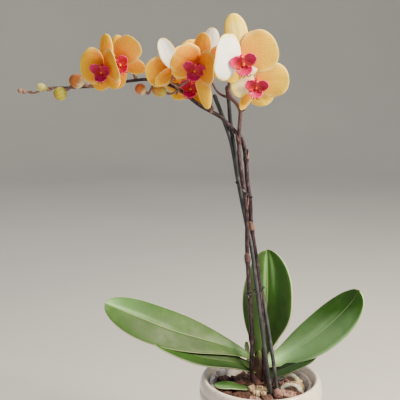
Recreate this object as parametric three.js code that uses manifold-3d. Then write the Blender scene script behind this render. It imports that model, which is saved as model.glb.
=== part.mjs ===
// A potted moth orchid: a glazed cover pot with a clear growing pot of bark in it, and a plant with two
// flower stems tied to two thin sticks. Millimetres, +Z up. The origin is the centre of the pot's foot,
// and -Y is the side that the flowers face.

import * as THREE from 'three';
import { mergeVertices } from 'three/addons/utils/BufferGeometryUtils.js';
import Module from 'manifold-3d';

const wasm = await Module();
wasm.setup();

// ---------- Driving dimensions ----------

const GAP = 0.3; // air between two pieces that touch

const POT = { height: 130, footRadius: 52, widestRadius: 70, widestHeight: 116, mouthRadius: 59.5, floor: 9 };
const POT_FOOT_ROUND = 4;
const POT_WALL_HEIGHTS = [POT_FOOT_ROUND, 30, 58, 88, POT.widestHeight];
const POT_INSIDE = [[POT.mouthRadius, POT.widestHeight], [56.5, 70], [47.5, POT.floor]];
const POT_SIDES = 32;

const LINER = { height: 122.5, footRadius: 44, topRadius: 56, wall: 0.9, flange: 2.4 };
const LINER_SIDES = 24;

const BARK = {
  level: 111, reach: 47, heap: 4, chunks: 12, tilt: 26,
  chunkLength: [25, 37], chunkWidth: [16, 22], chunkHeight: [8, 12],
};
const BARK_SEED = 20;

const CROWN = { x: -1, y: 14, bottom: 92, top: 152, radius: 10.5, topRadius: 7 };

const STAKE_RADIUS = 2.25;
const STEM_RADIUS = 2.45;
const STALK_RADIUS = 1.45;
const WIRE_RADIUS = 0.6;
const ROOT_RADIUS = 2.7;

const LEAF_THICKNESS = 2.2;
const TEPAL_THICKNESS = 0.8;

// ---------- Colours and finish ----------

const LOOKS = {
  glaze: { color: 0xe9e0d4, roughness: 0.32, metalness: 0 },
  clearPlastic: { color: 0xcfc8dc, roughness: 0.2, metalness: 0 },
  bark: { color: 0x54362c, roughness: 0.92, metalness: 0 },
  sheath: { color: 0x6e4a48, roughness: 0.8, metalness: 0 },
  leaf: { color: 0x3f6a2c, roughness: 0.45, metalness: 0 },
  root: { color: 0xc9c8bb, roughness: 0.7, metalness: 0 },
  stake: { color: 0x41454b, roughness: 0.5, metalness: 0 },
  purpleStem: { color: 0x43293a, roughness: 0.55, metalness: 0 },
  brownStem: { color: 0x4a3036, roughness: 0.55, metalness: 0 },
  wire: { color: 0x6e7074, roughness: 0.35, metalness: 0.9 },
  petal: { color: 0xf7b743, roughness: 0.6, metalness: 0 },
  lip: { color: 0xc9134f, roughness: 0.5, metalness: 0 },
  budOrange: { color: 0xc98548, roughness: 0.55, metalness: 0 },
  budGreen: { color: 0xb9b13c, roughness: 0.55, metalness: 0 },
};

// ---------- Small helpers ----------

const radians = THREE.MathUtils.degToRad;
const mix = THREE.MathUtils.lerp;
const point = (x, y, z) => new THREE.Vector3(x, y, z);
const smooth = (points) => new THREE.CatmullRomCurve3(points.map((p) => point(...p)), false, 'centripetal');

function seededRandom(seed) {
  let state = seed;
  return () => {
    state = (state * 1664525 + 1013904223) % 4294967296;
    return state / 4294967296;
  };
}

function signedVolume(positions, triangles) {
  const [a, b, c] = [point(0, 0, 0), point(0, 0, 0), point(0, 0, 0)];
  let volume = 0;
  for (let i = 0; i < triangles.length; i += 3) {
    a.fromArray(positions, 3 * triangles[i]);
    b.fromArray(positions, 3 * triangles[i + 1]);
    c.fromArray(positions, 3 * triangles[i + 2]);
    volume += a.dot(b.cross(c)) / 6;
  }
  return volume;
}

// A closed geometry becomes a solid: shared corners are merged and the faces made to point outwards.
function solidOf(geometry) {
  const plain = geometry.clone();
  plain.deleteAttribute('normal');
  plain.deleteAttribute('uv');
  const merged = mergeVertices(plain, 1e-3);
  const positions = merged.attributes.position.array;
  const corners = merged.index.array;
  const triangles = [];
  for (let i = 0; i < corners.length; i += 3) {
    const [a, b, c] = [corners[i], corners[i + 1], corners[i + 2]];
    if (a !== b && b !== c && c !== a) triangles.push(a, b, c);
  }
  if (signedVolume(positions, triangles) < 0) triangles.reverse();
  const mesh = new wasm.Mesh({
    numProp: 3,
    vertProperties: new Float32Array(positions),
    triVerts: new Uint32Array(triangles),
  });
  return new wasm.Manifold(mesh);
}

function geometryOf(solid) {
  const mesh = solid.getMesh();
  const geometry = new THREE.BufferGeometry();
  geometry.setAttribute('position', new THREE.BufferAttribute(mesh.vertProperties, 3));
  geometry.setIndex(new THREE.BufferAttribute(mesh.triVerts, 1));
  geometry.computeVertexNormals();
  return geometry;
}

function largestBody(solid) {
  const bodies = solid.decompose();
  return bodies.reduce((best, body) => (body.volume() > best.volume() ? body : best));
}

const fuse = (solids) => solids.reduce((whole, solid) => whole.add(solid));
const cutClear = (solid, tools) => largestBody(tools.reduce((rest, tool) => rest.subtract(tool), solid));

// ---------- Shapes ----------

// A solid of revolution about Z, from a profile of [radius, height] points that starts and ends on the axis.
function turned(profile, sides) {
  const corners = profile.map(([radius, height]) => new THREE.Vector2(radius, height));
  const lathe = new THREE.LatheGeometry(corners, sides);
  lathe.rotateX(Math.PI / 2);
  return solidOf(lathe);
}

function indexedSolid(vertices, triangles) {
  const geometry = new THREE.BufferGeometry();
  const positions = vertices.flatMap((vertex) => vertex.toArray());
  geometry.setAttribute('position', new THREE.Float32BufferAttribute(positions, 3));
  geometry.setIndex(triangles);
  return solidOf(geometry);
}

// A round rod along a curve, with closed ends; radiusAt gives its radius from 0 (start) to 1 (end).
function rod(curve, radiusAt, sides, rings) {
  const frames = curve.computeFrenetFrames(rings, false);
  const vertices = [];
  for (let ring = 0; ring <= rings; ring += 1) {
    const centre = curve.getPointAt(ring / rings);
    const radius = radiusAt(ring / rings);
    for (let side = 0; side < sides; side += 1) {
      const turn = (2 * Math.PI * side) / sides;
      const spoke = frames.normals[ring].clone().multiplyScalar(Math.cos(turn) * radius);
      spoke.addScaledVector(frames.binormals[ring], Math.sin(turn) * radius);
      vertices.push(spoke.add(centre));
    }
  }
  const triangles = [];
  for (let ring = 0; ring < rings; ring += 1) {
    for (let side = 0; side < sides; side += 1) {
      const next = (side + 1) % sides;
      const [a, b] = [ring * sides + side, ring * sides + next];
      triangles.push(a, b, b + sides, a, b + sides, a + sides);
    }
  }
  const start = vertices.push(curve.getPointAt(0)) - 1;
  const end = vertices.push(curve.getPointAt(1)) - 1;
  for (let side = 0; side < sides; side += 1) {
    const next = (side + 1) % sides;
    triangles.push(start, next, side, end, rings * sides + side, rings * sides + next);
  }
  return indexedSolid(vertices, triangles);
}

const evenRod = (points, radius, sides, rings) => rod(smooth(points), () => radius, sides, rings);

// The same route with both ends drawn out by `extra`, for the hole that a rod stands in.
function drawnOut(route, extra) {
  if (extra === 0) return route;
  const points = route.map((p) => point(...p));
  const last = points.length - 1;
  const first = points[0].clone().sub(points[1]).setLength(extra).add(points[0]);
  const final = points[last].clone().sub(points[last - 1]).setLength(extra).add(points[last]);
  return [first, ...points.slice(1, last), final].map((p) => p.toArray());
}

// A closed wire loop through a ring of points.
function wireLoop(points, radius, sides) {
  const count = points.length;
  const vertices = [];
  for (let i = 0; i < count; i += 1) {
    const along = points[(i + 1) % count].clone().sub(points[(i + count - 1) % count]).normalize();
    const outward = along.clone().cross(point(0, 0, 1)).normalize();
    const upward = outward.clone().cross(along);
    for (let side = 0; side < sides; side += 1) {
      const turn = (2 * Math.PI * side) / sides;
      const spoke = outward.clone().multiplyScalar(Math.cos(turn) * radius);
      spoke.addScaledVector(upward, Math.sin(turn) * radius);
      vertices.push(spoke.add(points[i]));
    }
  }
  const triangles = [];
  for (let i = 0; i < count; i += 1) {
    for (let side = 0; side < sides; side += 1) {
      const next = (side + 1) % sides;
      const [a, b] = [i * sides + side, i * sides + next];
      const [c, d] = [((i + 1) % count) * sides + side, ((i + 1) % count) * sides + next];
      triangles.push(a, b, d, a, d, c);
    }
  }
  return indexedSolid(vertices, triangles);
}

// A thin closed blade about a middle surface: surface(u, v) with u from 0 to 1 along and v from -1 to 1
// across. Both faces are split into triangles alike, and a strip closes the edge.
function blade(surface, thickness, rows, columns) {
  const step = 1e-3;
  const upper = [];
  const lower = [];
  for (let row = 0; row <= rows; row += 1) {
    for (let column = 0; column <= columns; column += 1) {
      const u = row / rows;
      const v = -1 + (2 * column) / columns;
      const along = surface(Math.min(u + step, 1), v).sub(surface(Math.max(u - step, 0), v));
      const across = surface(u, Math.min(v + step, 1)).sub(surface(u, Math.max(v - step, -1)));
      const normal = along.cross(across).normalize();
      upper.push(surface(u, v).addScaledVector(normal, thickness / 2));
      lower.push(surface(u, v).addScaledVector(normal, -thickness / 2));
    }
  }
  const width = columns + 1;
  const under = upper.length;
  const triangles = [];
  for (let row = 0; row < rows; row += 1) {
    for (let column = 0; column < columns; column += 1) {
      const a = row * width + column;
      const [b, c, d] = [a + width, a + width + 1, a + 1];
      triangles.push(a, b, c, a, c, d);
      triangles.push(under + a, under + c, under + b, under + a, under + d, under + c);
    }
  }
  const edge = [];
  for (let column = 0; column < columns; column += 1) edge.push(column);
  for (let row = 0; row < rows; row += 1) edge.push(row * width + columns);
  for (let column = columns; column > 0; column -= 1) edge.push(rows * width + column);
  for (let row = rows; row > 0; row -= 1) edge.push(row * width);
  edge.forEach((a, i) => {
    const b = edge[(i + 1) % edge.length];
    triangles.push(a, b, under + b, a, under + b, under + a);
  });
  return indexedSolid([...upper, ...lower], triangles);
}

// An egg-shaped body: its axis runs from base to tip, and it is fullest at `belly` of its length.
function egg(base, tip, radius, belly, sides, rings) {
  const axis = tip.clone().sub(base);
  const length = axis.length();
  const profile = [];
  for (let ring = 0; ring <= rings; ring += 1) {
    const t = (1 - Math.cos((Math.PI * ring) / rings)) / 2;
    const swell = t < belly ? 1 - t / belly : (t - belly) / (1 - belly);
    const r = ring === 0 || ring === rings ? 0 : radius * Math.sqrt(Math.max(0, 1 - swell ** 2.2));
    profile.push(new THREE.Vector2(r, t * length));
  }
  const lathe = new THREE.LatheGeometry(profile, sides);
  lathe.applyQuaternion(new THREE.Quaternion().setFromUnitVectors(point(0, 1, 0), axis.normalize()));
  lathe.translate(base.x, base.y, base.z);
  return solidOf(lathe);
}

function ball(centre, radius, sides) {
  const up = point(0, 0, radius);
  return egg(centre.clone().sub(up), centre.clone().add(up), radius, 0.5, sides, 4);
}

// ---------- Pot, growing pot and bark ----------

// Outer radius of the pot's wall: it swells from the foot and is upright at its widest.
function potRadius(height) {
  const rise = Math.min(height / POT.widestHeight, 1);
  return mix(POT.footRadius, POT.widestRadius, Math.sin((rise * Math.PI) / 2) ** 0.9);
}

function makePot() {
  const profile = [[0, 0], [POT.footRadius - POT_FOOT_ROUND, 0]];
  for (const height of POT_WALL_HEIGHTS) profile.push([potRadius(height), height]);
  const lipRadius = (POT.widestRadius - POT.mouthRadius) / 2;
  const lipRise = POT.height - POT.widestHeight;
  for (const turn of [30, 60, 90, 120, 150]) {
    const reach = lipRadius * Math.cos(radians(turn));
    profile.push([POT.mouthRadius + lipRadius + reach, POT.widestHeight + lipRise * Math.sin(radians(turn))]);
  }
  profile.push(...POT_INSIDE, [0, POT.floor]);
  return turned(profile, POT_SIDES);
}

const linerRadius = (height) => mix(LINER.footRadius, LINER.topRadius, height / LINER.height);

function makeLiner() {
  const bottom = POT.floor + GAP;
  const { height, wall, flange } = LINER;
  return turned([
    [0, bottom],
    [linerRadius(bottom), bottom],
    [linerRadius(height - 3), height - 3],
    [linerRadius(height) + flange, height - 1.2],
    [linerRadius(height) + flange, height],
    [linerRadius(height) - wall, height],
    [linerRadius(bottom) - wall, bottom + wall],
    [0, bottom + wall],
  ], LINER_SIDES);
}

// One rough piece of bark: a box with its corners moved at random, lying at a random slant.
function barkChunk(random) {
  const between = ([low, high]) => mix(low, high, random());
  const lump = new THREE.BoxGeometry(
    between(BARK.chunkLength),
    between(BARK.chunkWidth),
    between(BARK.chunkHeight),
  );
  lump.deleteAttribute('normal');
  lump.deleteAttribute('uv');
  const chunk = mergeVertices(lump);
  const corners = chunk.attributes.position;
  for (let i = 0; i < corners.count; i += 1) {
    const x = corners.getX(i) * mix(0.7, 1.1, random());
    const y = corners.getY(i) * mix(0.65, 1.15, random());
    const z = corners.getZ(i) * mix(0.6, 1.2, random());
    corners.setXYZ(i, x, y, z);
  }
  const tilt = () => radians(mix(-BARK.tilt, BARK.tilt, random()));
  chunk.rotateX(tilt());
  chunk.rotateY(tilt());
  chunk.rotateZ(random() * Math.PI);
  return chunk;
}

// Successive chunks turned by this angle spread evenly over a disc.
const GOLDEN_ANGLE = radians(137.5);

function makeBark(holes) {
  const random = seededRandom(BARK_SEED);
  const bottom = POT.floor + LINER.wall + 2 * GAP;
  const inside = (height) => linerRadius(height) - LINER.wall - GAP;
  const top = LINER.height + 8;
  const bed = turned([[0, bottom], [inside(bottom), bottom], [inside(BARK.level - 4), BARK.level - 4],
    [0, BARK.level]], LINER_SIDES);
  const room = turned([[0, bottom], [inside(bottom), bottom], [inside(LINER.height), LINER.height],
    [inside(LINER.height) - 6, top], [0, top]], LINER_SIDES);
  const chunks = [];
  for (let i = 0; i < BARK.chunks; i += 1) {
    const away = Math.sqrt((i + 0.5) / BARK.chunks);
    const turn = i * GOLDEN_ANGLE;
    const reach = away * BARK.reach;
    const chunk = barkChunk(random);
    const height = BARK.level + BARK.heap * (1 - away) + mix(-2, 2, random());
    chunk.translate(reach * Math.cos(turn), reach * Math.sin(turn), height);
    chunks.push(solidOf(chunk));
  }
  return cutClear(fuse([bed, ...chunks]).intersect(room), holes);
}

// ---------- Crown, leaves and roots ----------

function makeCrown(grow = 0) {
  const { x, y, bottom, top, radius, topRadius } = CROWN;
  const line = smooth([[x + 1, y - 1, bottom - grow], [x, y, 116], [x - 1, y, 134], [x, y + 1, top + grow]]);
  return rod(line, (t) => mix(radius, topRadius, t * t) * (1 + 0.05 * Math.sin(t * 19)) + grow, 9, 6);
}

// Half width of a leaf, from 0 at its base to 1 at its tip: a narrow base, the widest place, a round end.
function leafOutline(t, widest, base, roundness) {
  if (t < widest) return mix(base, 1, Math.sin((Math.PI * t) / (2 * widest)) ** 1.3);
  return Math.max((1 - ((t - widest) / (1 - widest)) ** roundness) ** 0.5, 0.1);
}

// midrib: route of the middle from the crown to the tip. side: direction from the midrib to the edge that
// lies to the right of someone who walks outwards on the upper face. fold: how far both halves are raised
// (or lowered) from flat, in degrees, at the base and at the tip.
const LEAVES = [
  {
    name: 'leaf_1',
    midrib: [[-7, 13, 146], [-26, 8, 156.5], [-52.4, 2, 168.8], [-96.5, -8, 186.4], [-138.4, -14, 205.5],
      [-174.5, -16, 222]],
    halfWidth: 25, side: [0, 0.72, 0.69], fold: [14, -12], widest: 0.66, base: 0.12, rows: 10,
  },
  {
    name: 'leaf_2',
    midrib: [[0, 18, 143], [3, 22, 158], [5.3, 27, 175.5], [8.9, 34, 209.5], [9.7, 42, 237.5],
      [9.3, 50, 266]],
    halfWidth: 33, side: [1, 0, 0], fold: [34, 24], widest: 0.5, base: 0.22, rows: 10, point: 1.9,
  },
  {
    name: 'leaf_3',
    midrib: [[6, 17, 138], [24.2, 22, 142.4], [57.9, 16, 167], [85, 10, 193.5], [104, 6, 218],
      [110.5, 5, 230]],
    halfWidth: 25.5, side: [0.25, -0.72, -0.65], fold: [12, -8], widest: 0.6, base: 0.26, rows: 10,
  },
  {
    name: 'leaf_4',
    midrib: [[-8, 10, 134], [-29.8, -2, 146], [-69.5, -16, 159], [-108.2, -23, 174.5], [-122, -25, 181]],
    halfWidth: 15, side: [0, 0.93, 0.37], fold: [16, 6], widest: 0.5, base: 0.5, rows: 7,
  },
  {
    name: 'leaf_5',
    midrib: [[7, 12, 126], [20, 11, 131], [34, 9, 137.5], [50, 7, 145.5], [64, 5, 152]],
    halfWidth: 12.5, side: [0.1, -0.93, -0.36], fold: [14, 4], widest: 0.4, base: 0.62, rows: 5,
  },
  {
    name: 'leaf_6',
    midrib: [[-9, 0, 113.5], [-23, -5, 117.5], [-38, -8, 121], [-53, -9, 122.5]],
    halfWidth: 7.2, side: [0, 0.97, 0.26], fold: [18, 8], widest: 0.7, base: 0.24, rows: 5,
  },
];

function makeLeaf({ midrib, halfWidth, side, fold, widest, base, rows, point: roundness = 2.3 }, grow = 0) {
  const line = smooth(drawnOut(midrib, grow));
  const columns = 4;
  const surface = (u, v) => {
    const t = Math.sin((u * Math.PI) / 2) ** 1.15;
    const along = line.getTangentAt(t);
    const across = point(...side).addScaledVector(along, -along.dot(point(...side))).normalize();
    const face = across.clone().cross(along);
    const width = (halfWidth + grow) * leafOutline(t, widest, base, roundness);
    const slant = radians(mix(fold[0], fold[1], t));
    const lift = width * (Math.sqrt(v * v + 0.03) - Math.sqrt(0.03)) * Math.sin(slant);
    const spread = width * v * Math.cos(slant);
    return line.getPointAt(t).addScaledVector(across, spread).addScaledVector(face, lift);
  };
  return blade(surface, LEAF_THICKNESS + 2 * grow, rows, columns);
}

const ROOTS = [
  {
    name: 'root_1',
    route: [[22, 21, 106], [25, 20.8, 116], [33, 20.5, 122], [41.5, 18, 120.5], [45.5, 16, 112],
      [45.5, 15, 105]],
  },
  {
    name: 'root_2',
    route: [[22, 1.5, 104], [25, 1.2, 113.5], [32, -0.5, 118.5], [40, -3, 118.5], [46, -5.7, 111.5],
      [47, -7, 104]],
  },
  {
    name: 'root_3',
    route: [[5, 24, 122], [12, 33, 140], [19, 37, 153], [22.5, 38.5, 159]],
  },
  {
    name: 'root_4',
    route: [[-7, 22, 122], [-12, 30, 138], [-14, 34, 151], [-14.5, 35, 158]],
  },
];

const makeRoot = ({ route }, grow = 0) =>
  rod(smooth(drawnOut(route, grow)), (t) => ROOT_RADIUS * (1 + 0.1 * Math.sin(9 * t)) + grow, 6, 8);

// ---------- Sticks and stems ----------

const STAKES = [
  {
    name: 'stake_front',
    route: [[21, -19, 40], [11, -14, 112.7], [-5.9, -6, 234], [-12.9, -1, 284.5], [-18.5, 2.8, 310],
      [-28.2, 7, 358.7], [-35.5, 9, 398.2], [-44.4, 11, 424.2], [-53.6, 12, 448]],
  },
  {
    name: 'stake_rear',
    route: [[24, -10, 40], [17.8, -3.5, 122], [13.9, 1.8, 150], [8.1, 7, 186], [0.4, 8, 229],
      [-7.2, 8.5, 267.8], [-16.9, 10.5, 308], [-25.7, 13, 361], [-29.2, 14, 377.7], [-33.2, 15, 400],
      [-36.6, 17, 424], [-37.8, 18, 440.2], [-40, 19, 456]],
  },
];

const makeStake = ({ route }, grow = 0) => evenRod(drawnOut(route, grow), STAKE_RADIUS + grow, 7, 11);

const SPIKE_LEFT_ROUTE = [
  [0, 9, 114], [4.2, 2.5, 133], [4.3, 2, 150], [2.9, 3.5, 181], [-2.5, 2, 229],
  [-6, 2.2, 262], [-9.3, 3.4, 285], [-11.2, 4.4, 296], [-12.9, 4.4, 308], [-14.3, 4.5, 334],
  [-17.7, 8, 358.5], [-18.8, 11, 378], [-20.4, 12.2, 389], [-24, 12.2, 402], [-30, 10.5, 408.5],
  [-35.7, 7.5, 414.6], [-42.4, 3.2, 421.5], [-46.8, 1, 426.1], [-60.9, 0.5, 433.9], [-69.5, 1, 438.7],
  [-80.2, 2.2, 446.7], [-87.5, 1.8, 452.6], [-95.1, 0.5, 457.4], [-104.7, 0, 461.6], [-122.8, 0, 466.3],
  [-144.2, 0, 464.8], [-176.3, 0, 459.5], [-208.4, 0, 457.9], [-229.8, 0, 457.4], [-240.6, 0, 454.2],
  [-247.1, 0, 452.1], [-253.5, 0, 453.1], [-259.8, 0, 455.2], [-264, 0, 455.2],
];

const SPIKE_RIGHT_ROUTE = [
  [-5, 9, 112], [-10, 1, 131], [-10.6, -2.6, 152], [-10.4, -3.4, 173], [-14.7, -5, 233],
  [-16.1, -5.4, 257], [-17.6, -5.2, 285.5], [-17.8, -4.7, 308], [-19, -3, 330], [-21.3, -1, 346.5],
  [-26.4, 2, 379.3], [-27, 4.5, 395.5], [-27.1, 5, 408.6], [-26.1, 6, 422.6], [-26.1, 7.5, 433.3],
  [-30.5, 8, 440.8], [-36, 8, 446.2], [-39.3, 9, 454.8],
];

// ---------- Flowers ----------

// Where each flower sits and how it faces: turn is degrees to the left, nod is degrees downwards, roll tilts
// its upper sepal to the left. Its own frame has +z out of the face and +y towards the upper sepal. `parts`
// holds what is special about a sepal or petal of that flower.
const BLOOMS = [
  {
    name: '1', at: [-167.8, -24, 479.7], turn: 22, nod: 6, roll: -6, size: 0.84,
    parts: {
      dorsal: { length: 40, halfWidth: 9.5 },
      petalLeft: { angle: 180, swing: 12, length: 31, halfWidth: 23 },
      petalRight: { angle: 20, swing: 37, length: 32, halfWidth: 21 },
      sepalLeft: { angle: 246, length: 31, halfWidth: 14 },
      sepalRight: { angle: 302, length: 28, halfWidth: 11 },
    },
  },
  {
    name: '2', at: [-154.3, -8, 485.6], turn: 5, nod: 4, roll: 33, size: 0.8,
    parts: {
      dorsal: { angle: 62, length: 33, halfWidth: 10, swing: -4 },
      petalLeft: { swing: 5, length: 29 },
      petalRight: { angle: 18, swing: 26, length: 41, halfWidth: 18.5 },
    },
  },
  {
    name: '3', at: [-72, -28, 481.8], turn: 14, nod: 8, roll: -15, size: 0.88,
    parts: {
      dorsal: { length: 38, halfWidth: 11 },
      petalLeft: { angle: 159, swing: 38, length: 33 },
      petalRight: { swing: 48, length: 35 },
      sepalLeft: { angle: 208, length: 31, swing: 22 },
      sepalRight: { angle: 296, length: 52, halfWidth: 8.5 },
    },
  },
  {
    name: '4', at: [-77, 6, 459.6], turn: 12, nod: -5, roll: -12, size: 0.84,
    parts: {
      petalLeft: { swing: 0 },
      petalRight: { swing: 30, length: 24, halfWidth: 12 },
      sepalLeft: { angle: 218, length: 31 },
      sepalRight: { angle: 318, length: 30, halfWidth: 10 },
    },
  },
  {
    name: '5', at: [-97, -17, 478], turn: 165, nod: -4, roll: -24, size: 0.76,
    parts: {
      dorsal: { length: 44, halfWidth: 11.5 },
      sepalLeft: { length: 20, swing: 25 },
      sepalRight: { length: 32, angle: 345, halfWidth: 9 },
    },
  },
  {
    name: '6', at: [-27.4, -28, 488.8], turn: -6, nod: 4, roll: 12, size: 1,
    parts: {
      dorsal: { length: 45, halfWidth: 12.5 },
      petalLeft: { swing: 42, angle: 160, halfWidth: 24 },
      petalRight: { angle: 10, halfWidth: 22.5 },
      sepalLeft: { length: 26, angle: 232 },
      sepalRight: { length: 20, angle: 300, swing: 12 },
    },
  },
  {
    name: '7', at: [-11, -10, 464.3], turn: -4, nod: 10, roll: -4, size: 0.9,
    parts: {
      dorsal: { length: 34, swing: -6 },
      petalLeft: { swing: 20, angle: 190, halfWidth: 16, length: 30 },
      sepalLeft: { angle: 245, length: 36, halfWidth: 6.5, swing: 14 },
      sepalRight: { angle: 302, length: 31, halfWidth: 16 },
    },
  },
  {
    name: '8', at: [-61.9, 22, 485.1], turn: 8, nod: 4, roll: -10, size: 0.84,
    parts: { sepalRight: { length: 23 } },
  },
];

// The five outer parts of a flower. angle: direction in the face's plane, from +x towards +y. swing: tilt
// towards the front. curl: bend towards the front along its length. arch: how far its sides lie back.
const SEPAL = {
  length: 35, halfWidth: 10.5, swing: -2, curl: 0.02, arch: 0.2, set: -1.6, rows: 3, columns: 2,
};
const PETAL = {
  length: 38, halfWidth: 21, swing: 12, curl: -0.04, arch: 0.12, set: 0.4, rows: 4, columns: 4,
};
const TEPALS = {
  dorsal: { ...SEPAL, angle: 90, length: 42, halfWidth: 12, swing: 4, curl: -0.05, rows: 4 },
  sepalLeft: { ...SEPAL, angle: 232 },
  sepalRight: { ...SEPAL, angle: 308 },
  petalLeft: { ...PETAL, angle: 168 },
  petalRight: { ...PETAL, angle: 12 },
};

// A blade's round outline is a sine over half a turn, less this share of it at its foot and at its tip.
const OUTLINE_FOOT = 0.06;
const OUTLINE_TIP = 0.05;
const LIP_OUTLINE_FOOT = 0.12;
const LIP_OUTLINE_TIP = 0.08;

function makeTepal({ angle, length, halfWidth, swing, curl, arch, set, rows, columns }, grow) {
  const outward = point(Math.cos(radians(angle)), Math.sin(radians(angle)), 0);
  const across = point(-outward.y, outward.x, 0);
  const front = point(0, 0, 1);
  const tilt = radians(swing);
  const along = outward.clone().multiplyScalar(Math.cos(tilt)).addScaledVector(front, Math.sin(tilt));
  const face = front.clone().multiplyScalar(Math.cos(tilt)).addScaledVector(outward, -Math.sin(tilt));
  const surface = (u, v) => {
    const phase = Math.PI * (OUTLINE_FOOT + (1 - OUTLINE_FOOT - OUTLINE_TIP) * u);
    const reach = (1 - Math.cos(phase)) / 2;
    const width = halfWidth * Math.sin(phase);
    const depth = length * curl * reach ** 2 - arch * width * v * v;
    return point(0, 0, set).addScaledVector(along, 1 + length * reach).addScaledVector(across, width * v)
      .addScaledVector(face, depth);
  };
  return blade(surface, TEPAL_THICKNESS + 2 * grow, rows, columns);
}

function makeBloom({ parts, size }, grow = 0) {
  const tepals = Object.entries(TEPALS).map(([key, tepal]) => makeTepal({ ...tepal, ...parts[key] }, grow));
  const hub = ball(point(0, 0, -1), 4.2 + grow, 5);
  const columnRadius = (t) => 2.6 + 0.9 * Math.sin(2.6 * t) + grow;
  const column = rod(smooth([[0, 0.5, -1], [0, 1, 4], [0, 2.6, 10]]), columnRadius, 5, 2);
  return fuse([hub, column, ...tepals]).scale([size, size, size]);
}

// One lobe of a lip: a round blade from foot to tip, with `lean` giving the direction across it.
function makeLobe({ foot, tip, halfWidth, lean, cup, rows, columns }) {
  const start = point(...foot);
  const along = point(...tip).sub(start);
  const across = point(...lean);
  across.addScaledVector(along, -along.dot(across) / along.lengthSq()).normalize();
  const face = along.clone().normalize().cross(across);
  const surface = (u, v) => {
    const phase = Math.PI * (LIP_OUTLINE_FOOT + (1 - LIP_OUTLINE_FOOT - LIP_OUTLINE_TIP) * u);
    const reach = (1 - Math.cos(phase)) / 2;
    const lift = cup * halfWidth * (v * v + (2 * reach - 1) ** 2);
    const spread = halfWidth * Math.sin(phase) * v;
    const place = start.clone().addScaledVector(along, reach);
    return place.addScaledVector(across, spread).addScaledVector(face, lift);
  };
  return blade(surface, TEPAL_THICKNESS + 0.2, rows, columns);
}

const SIDE_LOBES = [1, -1].map((side) => ({
  foot: [side * 2.6, -6, 7], tip: [side * 12.2, 3.6, 11.5], halfWidth: 6.4, lean: [-0.71, 0.71 * side, 0],
  cup: 0.34, rows: 3, columns: 2,
}));
const MIDDLE_LOBE = {
  foot: [0, -4.8, 6], tip: [0, -16.6, 11.8], halfWidth: 8.4, lean: [1, 0, 0], cup: 0.22, rows: 4, columns: 2,
};

// The lip below the column: two round side lobes that stand beside it, a broad middle lobe, and the small
// knob where they meet.
function makeLip(bloom) {
  const knob = ball(point(0, -6, 7.6), 2.5, 5);
  const lip = fuse([knob, makeLobe(MIDDLE_LOBE), ...SIDE_LOBES.map(makeLobe)]);
  return cutClear(lip.scale([bloom.size, bloom.size, bloom.size]), [makeBloom(bloom, 2 * GAP)]);
}

// Turns a flower's own frame into the plant's.
function bloomTurn({ turn, nod, roll }) {
  const spin = (axis, degrees) => new THREE.Quaternion().setFromAxisAngle(axis, radians(degrees));
  const upright = spin(point(1, 0, 0), 90);
  return spin(point(0, 0, 1), -turn).multiply(upright).multiply(spin(point(1, 0, 0), nod))
    .multiply(spin(point(0, 0, 1), roll));
}

function bloomPoint(bloom, x, y, z) {
  const spot = point(x, y, z).multiplyScalar(bloom.size).applyQuaternion(bloomTurn(bloom));
  return spot.add(point(...bloom.at)).toArray();
}

// Where a flower's stalk ends, just behind its hub.
const STALK_SEAT = -5.6;
const bloomSeat = (name) => {
  const bloom = BLOOMS.find((one) => one.name === name);
  return [bloomPoint(bloom, 0, -1, STALK_SEAT - 3), bloomPoint(bloom, 0, 0, STALK_SEAT)];
};

// ---------- Buds ----------

const BUDS = [
  { name: 'bud_1', base: [-232.5, -5.2, 456.4], tip: [-242.5, -8.2, 460.2], radius: 4.4, look: 'budGreen' },
  { name: 'bud_2', base: [-211.5, -8.5, 455.2], tip: [-223.5, -11, 448.8], radius: 7.4, look: 'budGreen' },
  { name: 'bud_3', base: [-193, -5, 461.5], tip: [-207, -9, 469], radius: 7.6, look: 'budOrange' },
  { name: 'bud_4', base: [-128, 1, 453], tip: [-138, -2, 459.5], radius: 6, look: 'budOrange' },
  { name: 'bud_5', base: [-105.5, -6, 452.5], tip: [-120, -8.5, 457], radius: 6.4, look: 'budGreen' },
];

const makeBud = ({ base, tip, radius }) => egg(point(...base), point(...tip), radius, 0.46, 8, 5);

// Where a bud's stalk ends, just short of its base.
const budSeat = (name) => {
  const { base, tip } = BUDS.find((one) => one.name === name);
  const start = point(...base);
  const away = start.clone().sub(point(...tip)).normalize();
  const seat = (distance) => start.clone().addScaledVector(away, distance).toArray();
  return [seat(3.5), seat(GAP)];
};

// ---------- Flower stems with their stalks ----------

const STALKS_LEFT = [
  [[-57.5, -1, 432], [-57.5, 8, 439], [-60, 17, 450], [-69, 20, 461], ...bloomSeat('4')],
  [[-95.1, 0.5, 457.4], [-91.5, -8, 459.5], [-83, -15.5, 466], ...bloomSeat('3')],
  [[-91.5, -8, 459.5], [-95.5, -15.5, 461.5], [-99, -22, 465.5], ...bloomSeat('5')],
  [[-137.8, 0, 465.6], [-141.5, 5, 474], ...bloomSeat('2')],
  [[-180, 0, 459.3], [-177, -6, 468], ...bloomSeat('1')],
  [[-228, 0, 457.2], ...budSeat('bud_1')],
  [[-203, 0, 458], [-207, -4, 459.5], ...budSeat('bud_2')],
  [[-185, 0, 458.9], ...budSeat('bud_3')],
  [[-117, 0, 465.2], [-121.5, 1, 457], ...budSeat('bud_4')],
  [[-93, 0, 456], [-97, -3, 452.5], ...budSeat('bud_5')],
];

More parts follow.
